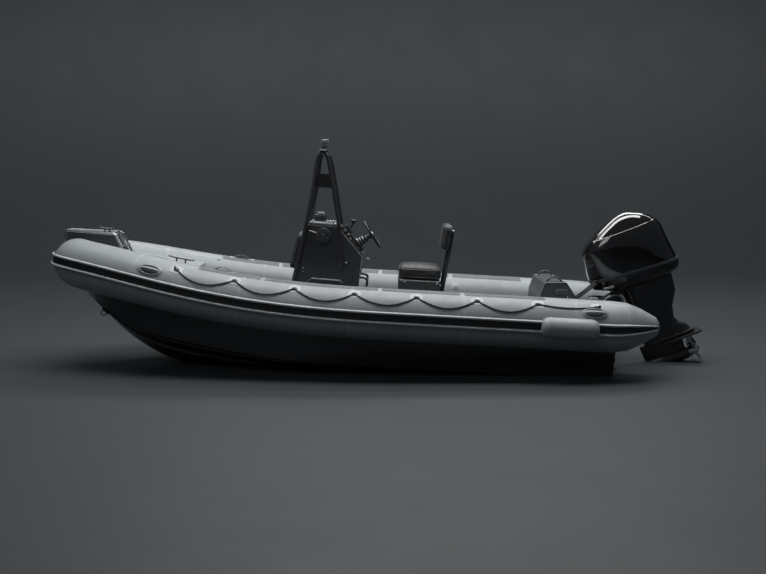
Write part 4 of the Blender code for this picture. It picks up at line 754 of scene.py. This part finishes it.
# Hatches in the cockpit floor and the foredeck
FOREDECK_DROP = 0.088                # below the collar's top
FORE_HATCH_X = -2.12
PULL = [(0, 0.022), (0.004, 0.022), (0.006, 0.018), (0.0065, 0.010)]
hatches, pulls = Shape(), Shape()
for x, half_x, half_y in ((1.52, 0.24, 0.26), (-1.02, 0.22, 0.24)):
    hatches.plate((half_x * 2, half_y * 2, 0.008), (x, 0, DECK_Z + 0.003), corner=0.2, edge=0.3)
    pulls.turned([(0, 0.026), (0.004, 0.026), (0.006, 0.022), (0.0065, 0.012)],
                 (x + half_x - 0.06, 0, DECK_Z + 0.006))
fore_slope = math.atan2(sheer_z(FORE_HATCH_X - 0.1) - sheer_z(FORE_HATCH_X + 0.1), 0.2)
fore_turn = Matrix.Rotation(fore_slope, 3, "Y")
fore_z = TUBE_R - FOREDECK_DROP
hatch_at = (FORE_HATCH_X, 0, sheer_z(FORE_HATCH_X) + fore_z + 0.003)
hatches.plate((0.30, 0.26, 0.010), hatch_at, fore_turn, 0.25, 0.3)
pull_x = FORE_HATCH_X + 0.10
pulls.turned(PULL, (pull_x, 0, sheer_z(pull_x) + fore_z + 0.007), fore_turn @ Z_AXIS)
hatches.done("hatches", "tread", slot="deck")
pulls.done("hatch_pulls", "steel")

# Outboard, in the frame that steers: +X aft along the cowl, +Z up the leg
# cowls: height, front, aft, half width
COWL = [(0.158, -0.070, 0.885, 0.235), (0.29, -0.078, 0.862, 0.252), (0.425, -0.070, 0.845, 0.256),
        (0.55, -0.060, 0.834, 0.252), (0.62, 0.000, 0.815, 0.240), (0.70, 0.115, 0.760, 0.215),
        (0.765, 0.240, 0.675, 0.178), (0.81, 0.355, 0.575, 0.125), (0.828, 0.430, 0.530, 0.070)]
LOWER_COWL = [(0.055, 0.20, 0.80, 0.150), (0.075, 0.12, 0.845, 0.190), (0.110, 0.03, 0.872, 0.218),
              (0.1577, -0.068, 0.883, 0.233)]
COWL_POWER = 2.6
COWL_SIDES = 96
CREASE = 0.655
cowl_curves, lower_curves = columns(COWL), columns(LOWER_COWL)


def oval(curves, height, angle, inset=0.0):
    front, aft, half = (curve(height) for curve in curves)
    x, y = squircle(angle, COWL_POWER)
    return Vector(((front + aft) / 2 - STEER_A + x * ((aft - front) / 2 - inset), y * (half - inset), height))


def oval_ring(curves, height, inset=0.0):
    return [oval(curves, height, 2 * math.pi * k / COWL_SIDES, inset) for k in range(COWL_SIDES)]


def cowl_inset(height):
    """A groove at the lower joint and a step at the shoulder."""
    joint = 0.005 if height < 0.163 else 0.0
    return joint + 0.0035 * min(1.0, max(0.0, (height - CREASE) / 0.004))


heights = [0.158, 0.1625, 0.1645, 0.170] + [0.180 + 0.455 * k / 18 for k in range(19)]
heights += [0.645, 0.653, CREASE, CREASE + 0.002, CREASE + 0.004, CREASE + 0.008]
heights += [0.675 + 0.153 * k / 18 for k in range(19)]
upper = Shape(MOTOR).rings([oval_ring(cowl_curves, h, cowl_inset(h)) for h in heights])
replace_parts(upper.done("cowl_upper", "cowl", "motor", sharp=50), "upper_cowl")
lower = Shape(MOTOR).rings([oval_ring(lower_curves, 0.055 + 0.1025 * k / 14) for k in range(15)])
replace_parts(lower.done("cowl_lower", "leg", "motor"), "lower_cowl")

# rubber rim round the cowl, falling towards the stern
RIM_HEIGHT, RIM_FALL = 0.236, 0.077
RIM = ((-0.017, -0.002), (-0.016, 0.0035), (-0.012, 0.0050), (0.012, 0.0050), (0.016, 0.0035),
       (0.017, -0.002))


def rim_row(shift, out):
    row = []
    for k in range(COWL_SIDES):
        angle = 2 * math.pi * k / COWL_SIDES
        height = RIM_HEIGHT
        for _ in range(3):
            height = RIM_HEIGHT - RIM_FALL * oval(cowl_curves, height, angle).x + shift
        row.append(oval(cowl_curves, max(0.159, height), angle, -out))
    return row


rim = Shape(MOTOR).rings([rim_row(shift, out) for shift, out in RIM], (False, False))
rim.done("cowl_rim", "panel", "motor", "leg")


def on_lower_cowl(x, height, out):
    """Place on the lower cowl's port side, and its turn: columns along, up, outward."""
    angles = (-math.pi * k / 400 for k in range(1, 400))
    angle = min(angles, key=lambda a: abs(oval(lower_curves, height, a).x - x))
    at = oval(lower_curves, height, angle)
    along = oval(lower_curves, height, angle + 0.02) - oval(lower_curves, height, angle - 0.02)
    along = along.normalized() * (1 if along.x > 0 else -1)
    up = oval(lower_curves, height + 0.01, angle) - oval(lower_curves, height - 0.01, angle)
    normal = along.cross(up.normalized()).normalized()
    if normal.y > 0:
        normal = -normal
    return at + normal * out, Matrix((along, normal.cross(along), normal)).transposed()


blank, fixings = Shape(MOTOR), Shape(MOTOR)
at, turn = on_lower_cowl(-0.062, 0.150, 0.006)
blank.plate((0.112, 0.040, 0.003), at, turn, 0.2, 0.4)
blank.done("blank_plate", "white", "motor", "cowl")
for x in (0.10, 0.30, 0.50, 0.66):
    at, turn = on_lower_cowl(x, 0.125, 0.0)
    fixings.turned([(-0.002, 0.009), (0.003, 0.009), (0.005, 0.007), (0.0055, 0.003)], at, turn @ Z_AXIS, 16)
fixings.turned([(-0.01, 0.011), (0.004, 0.011), (0.006, 0.008)], (0.10, -0.064, -0.50), -Y_AXIS, 16)
for x, z in ((0.17, -0.615), (0.225, -0.640), (0.28, -0.655)):
    fixings.turned([(-0.01, 0.006), (0.004, 0.006), (0.005, 0.004)], (x, -0.050, z), -Y_AXIS, 12)
fixings.done("motor_fixings", "dark_steel", "motor", "steel")

# Hoses and cables between the boat and the outboard
THROUGH = ("hull", "swivel", "motor")
RIB = 0.16                           # height of the ribs, as a share of the radius


def hose(name, points, radius, mat, bodies, ribbed=False):
    """Tube from one body to the next; one that crosses the swivel is made in two lengths that meet on it."""
    line = smooth_line(points, 8)
    inside = range(2, len(line) - 2) if ribbed else ()
    radii = [radius * (1 + (RIB * (-1) ** k if k in inside else 0)) for k in range(len(line))]
    cuts = [0] + ([len(line) * 11 // 20] if len(bodies) == 3 else []) + [len(line) - 1]
    for part, (low, high) in enumerate(zip(cuts, cuts[1:])):
        made = Shape().tube(line[low:high + 1], radii[low:high + 1], 14)
        ob = made.done(f"{name}_{part + 1}", mat, None, "rubber")
        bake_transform(ob)


hose("rigging_boot", [
    (2.36, -0.215, 0.60), (2.365, -0.212, 0.74), (2.382, -0.205, 0.826), (2.452, -0.195, 0.889),
    (2.531, -0.165, 0.946), (2.60, -0.13, 1.000)], 0.0175, "boot", THROUGH, True)
hose("steering_hose", [
    (2.34, -0.235, 0.60), (2.345, -0.232, 0.76), (2.372, -0.226, 0.850), (2.450, -0.212, 0.918),
    (2.535, -0.175, 0.985), (2.61, -0.14, 1.040)], 0.0085, "rubber", THROUGH)
hose("fuel_hose", [
    (2.640, -0.175, 0.76), (2.652, -0.172, 0.821), (2.721, -0.168, 0.889), (2.813, -0.160, 0.926),
    (2.895, -0.145, 0.890), (2.93, -0.12, 0.845)], 0.0115, "rubber", THROUGH[1:])
hose("cable_loop", [
    (2.650, -0.225, 0.76), (2.662, -0.215, 0.815), (2.730, -0.190, 0.862), (2.806, -0.180, 0.888),
    (2.870, -0.160, 0.862), (2.90, -0.13, 0.82)], 0.0075, "boot", THROUGH)
wire = Shape()
wire.bent([(2.905, -0.128, 0.965), (2.927, -0.140, 0.936), (2.969, -0.138, 0.875), (3.010, -0.126, 0.800),
           (3.026, -0.112, 0.761)], 6, 0.0042, 10)
wire.done("earth_wire", "tray", "motor", "rubber")

# Stern: hose box, transom trim fittings and drain
hose_box = Shape().plate((0.10, 0.11, 0.545), (2.545, -0.325, DECK_Z + 0.2765), corner=0.5, edge=0.35)
hose_box.done("hose_box", "tray", slot="moulding")
FACE_X = TRANSOM_X + 0.0603
TAB_Y = 0.78
facing_aft = Matrix(((0, 0, 1), (1, 0, 0), (0, 1, 0)))
fit, bolts = Shape(), Shape()
for y in (-TAB_Y, TAB_Y):
    fit.plate((0.14, 0.15, 0.014), (FACE_X + 0.007, y, 0.265), facing_aft, 0.3, 0.4)
    fit.plate((0.06, 0.030, 0.036), (FACE_X + 0.026, y, 0.215), None, 0.4, 0.4)
    fit.tube([(FACE_X + 0.020, y - 0.045, 0.305), (FACE_X + 0.020, y + 0.045, 0.305)], 0.013, 16)
    for dy in (-0.05, 0.05):
        for z in (0.215, 0.315):
            bolts.turned([(0, 0.010), (0.006, 0.010), (0.009, 0.007), (0.0095, 0.003)],
                         (FACE_X + 0.014, y + dy, z), (1, 0, 0), 16)
fit.done("transom_fittings", "silver", slot="steel")
bolts.turned([(0, 0.022), (0.010, 0.022), (0.014, 0.016), (0.022, 0.015), (0.024, 0.011)],
             (FACE_X, 0.45, 0.20), (1, 0, 0), 24)

# Valves on the tubes' inner sides
# valves: x, angle, size
VALVES = ((1.177, 147.0, 1.0), (-0.55, 147.0, 1.0), (-1.539, 121.0, 0.6), (2.30, 147.0, 1.0))
VALVE = [(-0.004, 0.040), (0.003, 0.040), (0.005, 0.036), (0.0055, 0.030), (0.003, 0.027), (0.004, 0.022),
         (0.010, 0.020), (0.012, 0.014), (0.0125, 0.005)]
valves = Shape()
for side in (-1, 1):
    for x, angle, size in VALVES:
        at, normal, _ = on_collar(x, side, angle)
        valves.turned([(h, r * size) for h, r in VALVE], at, normal, 28)
valves.done("air_valves", "pad", slot="collar")

# Bow: chain from the step to the foredeck
chain = Shape()
path = smooth_line([(-2.478, 0.0, 1.262), (-2.470, 0.0, 1.225), (-2.446, 0.0, 1.165), (-2.412, 0.0, 1.108),
                    (-2.372, 0.0, 1.063), (-2.330, 0.0, 1.040)], 4)
for k in range(len(path) - 1):
    along = (path[k + 1] - path[k]).normalized()
    wide = Y_AXIS if k % 2 else along.cross(Y_AXIS)
    chain.tube(circle((path[k] + path[k + 1]) / 2, along * 0.0135, wide * 0.0082, 14), 0.0030, 7, True)
chain.done("bow_chain", "dark_steel", slot="steel")

# Console: dash, with its frame of columns down the dash, across and outward
CONSOLE_HALF = 0.31
TOP_AFT, DASH_LOW = Vector((-0.156, 0, 1.458)), Vector((0.118, 0, 1.152))
DASH_FACE = 0.0125                   # panel's face above the line between them
GAUGE_BEZEL = [(0, 0.040), (0.010, 0.040), (0.014, 0.037), (0.0145, 0.033), (0.010, 0.032)]
KNOB = [(0, 0.021), (0.016, 0.021), (0.020, 0.017), (0.032, 0.016), (0.040, 0.012), (0.041, 0.005)]
dash_along = (DASH_LOW - TOP_AFT).normalized()
dash_out = dash_along.cross(Y_AXIS)
dash_turn = Matrix((dash_along, Y_AXIS, dash_out)).transposed()


def on_dash(share, y, out):
    return TOP_AFT.lerp(DASH_LOW, share) + Vector((0, y, 0)) + dash_out * (DASH_FACE + out)


bezel, dials, glass, lights = Shape(), Shape(), Shape(), Shape()
bezel.plate((0.100, 0.190, 0.016), on_dash(0.235, -0.03, 0.008), dash_turn, 0.2, 0.3)
glass.plate((0.080, 0.165, 0.003), on_dash(0.235, -0.03, 0.017), dash_turn, 0.1, 0.3)
for share in (0.30, 0.52):
    gauge = on_dash(share, -0.195, 0)
    bezel.turned(GAUGE_BEZEL, gauge, dash_out, 32)
    glass.turned([(0.004, 0.031), (0.0105, 0.031), (0.011, 0.028)], gauge, dash_out, 28)
    for k in range(9):
        t = math.radians(-130 + 260 * k / 8)
        tick = dash_turn @ Vector((0.025 * math.cos(t), 0.025 * math.sin(t), 0.0112))
        lights.turned([(0, 0.0016), (0.0006, 0.0016)], gauge + tick, dash_out, 8)
for k in range(5):
    dials.plate((0.030, 0.020, 0.010), on_dash(0.80, -0.235 + 0.030 * k, 0.004),
                dash_turn @ Matrix.Rotation(math.radians(6), 3, "Y"), 0.3, 0.4)
for k in range(3):
    foot = on_dash(0.10 + 0.135 * k, -0.245, 0)
    dials.turned(KNOB, foot, dash_out, 20)
    lights.turned([(0.0205, 0.0172), (0.0245, 0.0178), (0.0255, 0.0168)], foot, dash_out, 20)
bezel.done("dash_bezels", "rail")
glass.done("dash_glass", "glass", slot="rail")
dials.done("dash_controls", "rubber")

# console's edge trim, side bolts and fittings on the tray
BOLT = [(-0.001, 0.0095), (0.002, 0.0095), (0.0045, 0.0075), (0.0055, 0.003)]
# fittings on the tray: x, radius, height
TRAY_FITTINGS = ((-0.196, 0.013, 0.030), (-0.226, 0.010, 0.020), (-0.252, 0.009, 0.014),
                 (-0.410, 0.008, 0.010))
for side in (-1, 1):
    y = side * (CONSOLE_HALF - 0.003)
    lights.tube([(TOP_AFT.x + 0.004, y, TOP_AFT.z - 0.002), (DASH_LOW.x, y, DASH_LOW.z - 0.002),
                 (0.100, y, 0.90)], 0.0042, 10)
    for x, z in ((-0.101, 1.078), (-0.044, 1.081), (-0.485, 1.004), (-0.484, 0.968)):
        bolts.turned(BOLT, (x, side * CONSOLE_HALF, z), (0, side, 0), 18)
lights.done("light_trim", "tray", slot="rail")
for x, r, h in TRAY_FITTINGS:
    bolts.turned([(0, r * 0.8), (h * 0.4, r * 0.7), (h * 0.5, r), (h * 0.9, r), (h, r * 0.6)],
                 (x, -0.262, 1.4835), Z_AXIS, 18)

# compass bands
bands = Shape()
for low, high in ((0.041, 0.049), (0.058, 0.068)):
    bands.turned([(low, 0.0645), (low + 0.001, 0.0685), (high - 0.001, 0.0685), (high, 0.0645)],
                 (-0.348, 0.0, 1.4842), Z_AXIS, 40)
bands.done("compass_bands", "silver", slot="steel")

# horn grille
HORN_AT = Vector((-0.294, -0.3565, 1.356))
horn = Shape()


def horn_ring(r, count, behind=0.0):
    return circle(HORN_AT + Y_AXIS * behind, Vector((r, 0, 0)), Z_AXIS * r, count)


for r in (0.022, 0.038, 0.054):
    horn.tube(horn_ring(r, 32), 0.0026, 8, True)
spoke_ends = horn_ring(0.062, 16)
for k in range(8):
    horn.tube([spoke_ends[k + 8], spoke_ends[k]], 0.0022, 6)
horn.turned([(0, 0.014), (0.006, 0.014), (0.009, 0.009)], HORN_AT, -Y_AXIS, 20)
horn.tube(horn_ring(0.071, 48, 0.004), 0.0045, 10, True)
horn.done("horn_grille", "panel", slot="rail")

# foot rest, kill cord and its tag
FOOT_REST = ((0.090, 0.925), (0.130, 0.928), (0.165, 0.922), (0.183, 0.900), (0.184, 0.868), (0.178, 0.836))
rest = Shape()
for y in (-0.20, 0.20):
    rest.bent([(x, y, z) for x, z in FOOT_REST], 4, 0.0125, 12)
rest.tube([(0.184, -0.21, 0.885), (0.184, 0.21, 0.885)], 0.0125, 14)
rest.done("foot_rest", "rail")
cord = Shape()
cord.bent([(0.128, -0.10, 1.215), (0.146, -0.102, 1.180), (0.152, -0.104, 1.147), (0.160, -0.105, 1.128),
           (0.150, -0.105, 1.100), (0.139, -0.106, 1.070), (0.124, -0.107, 1.018), (0.110, -0.108, 0.960),
           (0.1045, -0.108, 0.925)], 6, 0.0038, 10)
cord.done("kill_cord", "boot", slot="rubber")
tag = Shape()
tag.plate((0.040, 0.010, 0.024), (0.176, -0.104, 1.120), Matrix.Rotation(math.radians(12), 3, "Y"), 0.9, 0.5)
tag.done("cord_tag", "pink", slot="rubber")

# Steering wheel: spokes and cap; bright rings on the helm
WHEEL = TRIM @ Matrix.Translation((0.210, 0.0, 1.3735)) @ Matrix.Rotation(-math.radians(35), 4, "Y")
# spoke: radius, half width, height
SPOKE = ((0.016, 0.017, 0.0045), (0.060, 0.013, 0.0020), (0.110, 0.012, 0.004), (0.148, 0.015, 0.008))
# its section, in shares of the half width and thickness
SPOKE_SECTION = ((1, 0), (0.7, 1), (-0.7, 1), (-1, 0), (-0.7, -1), (0.7, -1))
spokes = Shape(WHEEL)
for k in range(3):
    t = math.radians(90 + 120 * k)
    c, s = math.cos(t), math.sin(t)
    spokes.rings([[Vector((x + 0.0035 * v, c * r - s * half * u, s * r + c * half * u))
                   for u, v in SPOKE_SECTION] for r, half, x in SPOKE])
spokes.turned([(0.0, 0.034), (0.006, 0.034), (0.010, 0.030), (0.013, 0.018), (0.0135, 0.006)], (0.002, 0, 0),
              (1, 0, 0), 32)
spokes.done("wheel_spokes", "silver", "wheel", "steel")
helm = Shape(WHEEL)
for d, r in ((-0.1665, 0.0590), (-0.140, 0.0515), (-0.110, 0.0465)):
    helm.turned([(d, r - 0.004), (d + 0.001, r + 0.001), (d + 0.006, r + 0.001), (d + 0.007, r - 0.004)],
                (0, 0, 0), (1, 0, 0), 36)
helm.done("helm_rings", "silver", "hull", "steel")

# Seat: bolts, chromed post ends
LEAN = math.atan2(0.073, 0.625)      # of the back frame
POST = Vector((math.sin(LEAN), 0, math.cos(LEAN)))
for side in (-1, 1):
    for x, z in ((0.575, 0.906), (0.915, 0.906), (0.950, 0.893)):
        bolts.turned([(-0.001, 0.009), (0.002, 0.009), (0.0045, 0.007), (0.0055, 0.003)], (x, side * 0.23, z),
                     (0, side, 0), 18)
for y in (-0.17, 0.17):
    bolts.turned([(-0.022, 0.0172), (-0.002, 0.0175), (0.006, 0.0150), (0.010, 0.009)],
                 Vector((1.055, y, 1.468)) - POST * 0.004, POST, 24)

# Locker: lid edge, louvre and latch
LOCKER = ((1.966, 0.85), (2.012, 1.003), (2.232, 1.015), (2.346, 0.866))
LOUVRE_X = 2.190
louvre_turn = Matrix.Rotation(math.radians(-3), 3, "Y")
lid, slats = Shape(), Shape()
for side in (-1, 1):
    lid.tube([(x, side * 0.4165, z) for x, z in LOCKER], 0.0045, 10)
    lid.plate((0.118, 0.004, 0.046), (LOUVRE_X, side * 0.4215, 0.919), louvre_turn, 0.9, 0.4)
    for k in range(3):
        at = (LOUVRE_X, side * 0.4245, 0.907 + 0.012 * k)
        slats.plate((0.096, 0.006, 0.007), at, louvre_turn, 0.9, 0.4)
    bolts.plate((0.016, 0.010, 0.024), (2.253, side * 0.4235, 0.866), None, 0.9, 0.5)
lid.done("locker_trim", "tray", slot="moulding")
slats.done("locker_louvre", "panel", slot="moulding")
bolts.done("bolts", "steel")

# Cushions: remeshed, blown up as cloth, then piped along their edges
VOXEL = 0.006
CLOTH_FRAMES = 20
SWELL = 0.008                        # furthest that the cloth may move
PIPING_R = 0.0042
AROUND_PAD = 0.05                    # from where the piping is sought


def blown_up(ob):
    """Places of the vertices after air pressure has filled the cushion."""
    cloth = ob.modifiers.new("pressure", "CLOTH")
    settings = cloth.settings
    settings.quality = 4
    settings.mass = 0.3
    settings.tension_stiffness = settings.compression_stiffness = 12.0
    settings.bending_stiffness = 0.4
    settings.use_pressure = True
    settings.uniform_pressure_force = 4.0
    settings.effector_weights.gravity = 0.0
    cloth.point_cache.frame_start = 1
    cloth.point_cache.frame_end = CLOTH_FRAMES
    for step in range(1, CLOTH_FRAMES + 1):
        SCENE.frame_set(step)
    shaped = ob.evaluated_get(bpy.context.evaluated_depsgraph_get()).to_mesh()
    moved = [v.co.copy() for v in shaped.vertices]
    ob.modifiers.clear()
    return moved


def cushion(name, node, place, half, corner, crown):
    """A padded block in `place`, whose +Z is the side that is sat on; the other side rests flat."""
    hx, hy, hz = half
    block = Shape(place).rings([
        rounded_loop(hx - inset, hy - inset, z, max(0.012, corner - inset * 0.5), 10)
        for inset, z in eased(hz, 0.5 * hz, 0.35)])
    ob = block.done(name, "vinyl", "hull", "cushion")
    remesh = ob.modifiers.new("remesh", "REMESH")
    remesh.mode = "VOXEL"
    remesh.voxel_size = VOXEL
    mesh = bpy.data.meshes.new_from_object(ob.evaluated_get(bpy.context.evaluated_depsgraph_get()))
    ob.modifiers.clear()
    ob.data = mesh
    start = [v.co.copy() for v in mesh.vertices]
    moved = blown_up(ob)
    back = place.inverted()
    for v, a, b in zip(mesh.vertices, start, moved):
        step = b - a
        if step.length > SWELL:
            step *= SWELL / step.length
        local = back @ (a + step)
        flat = back @ a
        share = max(0.0, 1 - (flat.x / hx) ** 2) * max(0.0, 1 - (flat.y / hy) ** 2)
        if flat.z > 0:
            local.z += crown * share ** 0.7 * (flat.z / hz)
        local.z = max(local.z, -hz)
        v.co = place @ local
    mesh.materials.clear()
    mesh.materials.append(MAT["vinyl"])
    mesh.shade_smooth()
    tree = BVHTree.FromPolygons([v.co.copy() for v in mesh.vertices],
                                [tuple(p.vertices) for p in mesh.polygons])
    piping = Shape(Matrix.Identity(4))
    outer_x, outer_y = hx + AROUND_PAD, hy + AROUND_PAD
    for height in (hz * 0.56, -hz * 0.62):
        line = []
        for p in rounded_loop(outer_x, outer_y, height, corner + AROUND_PAD, 14):
            target = Vector((p.x * hx / outer_x * 0.5, p.y * hy / outer_y * 0.5, height))
            hit = tree.ray_cast(place @ p, (place @ target - place @ p).normalized())[0]
            if hit is not None:
                line.append(hit)
        piping.tube(line, PIPING_R, 10, True)
    piping.done(name + "_piping", "piping", "hull", "cushion")
    soft = ob.modifiers.new("soft", "SUBSURF")
    soft.levels = soft.render_levels = 1
    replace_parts(ob, node)


cushion("seat_pad", "seat_cushion", TRIM @ Matrix.Translation((0.7325, 0, 1.004)),
        (0.226, 0.233, 0.066), 0.055, 0.020)
cushion("back_pad", "seat_back_cushion",
        TRIM @ Matrix.Translation((1.0339, 0, 1.390)) @ Matrix.Rotation(LEAN, 4, "Y")
        @ Matrix.Translation((-0.0445, 0, 0)) @ Matrix.Rotation(-math.pi / 2, 4, "Y"),
        (0.136, 0.228, 0.0405), 0.060, 0.006)
cushion("front_pad", "front_cushion",
        TRIM @ Matrix.Translation((-0.5570, 0, 1.1718)) @ Matrix.Rotation(math.atan2(-0.978, 0.208), 4, "Y"),
        (0.197, 0.243, 0.0365), 0.060, 0.006)

# Finishes of the solids that show as they are, by material
FINISH = {
    "hull": "transom",
    "deck": "deck",
    "tape": "foredeck",
    "moulding": "console_body seat_base",
    "panel": "bow_step stern_locker",
    "tray": "console_top",
    "rail": "fore_cleat dash_panel compass horn throttle mast_hoop_port mast_hoop_starboard mast_top_plate "
            "seat_back_frame",
    "silver": "bow_rail side_rail",
    "dark_steel": "bow_cleat bow_eye",
    "steel": "tilt_rod propeller",
    "rubber": "helm steering_wheel",
    "lens": "nav_light",
    "leg": "clamp_bracket swivel_bracket leg gear_case tilt_barrel"}
for mat, nodes in FINISH.items():
    for node in nodes.split():
        NODES[node].data.materials.clear()
        NODES[node].data.materials.append(MAT[mat])

# Camera, floor and light
SENSOR = 36.0
FOCAL_PX, PHOTO_WIDTH_PX = 1085.0, 766.0
CAMERA_AT, CAMERA_TURN = (0.40, -11.5, 2.09), math.radians(83.584)
camera = bpy.data.cameras.new("camera")
camera.sensor_width = SENSOR
camera.lens = FOCAL_PX / PHOTO_WIDTH_PX * SENSOR
eye = bpy.data.objects.new("camera", camera)
eye.location = CAMERA_AT
eye.rotation_euler = (CAMERA_TURN, 0.0, 0.0)
SCENE.collection.objects.link(eye)
SCENE.camera = eye

WALL_Y, COVE_R, WALL_TOP, REACH = 16.0, 7.0, 30.0, 400.0
profile = [(-REACH, 0.0), (WALL_Y - COVE_R, 0.0)]
profile += [(WALL_Y - COVE_R + COVE_R * math.sin(t), COVE_R - COVE_R * math.cos(t))
            for t in (math.pi / 2 * k / 24 for k in range(1, 25))]
profile.append((WALL_Y, WALL_TOP))
mesh = bpy.data.meshes.new("studio_cove")
mesh.from_pydata([(x, y, z) for x in (-REACH, REACH) for y, z in profile], [],
                 [(k, k + 1, k + 1 + len(profile), k + len(profile)) for k in range(len(profile) - 1)])
mesh.shade_smooth()
cove = bpy.data.objects.new("studio_cove", mesh)
SCENE.collection.objects.link(cove)
ground = Shader("studio_grey", 0.34)
ground.out.inputs["Specular IOR Level"].default_value = 0.25
ground.colour(ground.noise(0.35, 2.0), (0.036, 0.041, 0.045), (0.038, 0.043, 0.047))
ground.rough(ground.noise(1.2, 2.0), 0.52, 0.57)
mesh.materials.append(ground.mat)


def area(name, at, target, size, power):
    light = bpy.data.lights.new(name, "AREA")
    light.shape = "RECTANGLE"
    light.size, light.size_y = size
    light.energy = power
    ob = bpy.data.objects.new(name, light)
    ob.location = at
    ob.rotation_euler = (Vector(target) - Vector(at)).to_track_quat("-Z", "Y").to_euler()
    SCENE.collection.objects.link(ob)


area("top", (0.4, -0.7, 7.5), (0.4, 0.1, 0.6), (10.0, 2.2), 660.0)
area("key", (-3.5, -8.0, 7.0), (0.2, 0, 0.6), (5.0, 2.0), 80.0)
area("far", (1.5, 4.5, 7.0), (0.8, 0.4, 0.7), (9.0, 1.6), 330.0)
area("wall", (0.0, 6.0, 14.0), (0.0, 16.0, 2.0), (30.0, 3.0), 2000.0)
world = bpy.data.worlds.new("studio")
SCENE.world = world
world.use_nodes = True
tree = world.node_tree
# the sky as seen and mirrored is darker than the light it gives
background = tree.nodes["Background"]
background.inputs["Strength"].default_value = 1.0
path = tree.nodes.new("ShaderNodeLightPath")
seen = tree.nodes.new("ShaderNodeMath")
seen.operation = "MAXIMUM"
tree.links.new(path.outputs["Is Camera Ray"], seen.inputs[0])
tree.links.new(path.outputs["Is Glossy Ray"], seen.inputs[1])
tint = tree.nodes.new("ShaderNodeMix")
tint.data_type = "RGBA"
tree.links.new(seen.outputs[0], tint.inputs["Factor"])
tint.inputs[6].default_value = (0.095, 0.101, 0.106, 1.0)
tint.inputs[7].default_value = (0.062, 0.068, 0.073, 1.0)
tree.links.new(tint.outputs[2], background.inputs["Color"])
SCENE.view_settings.view_transform = "Standard"
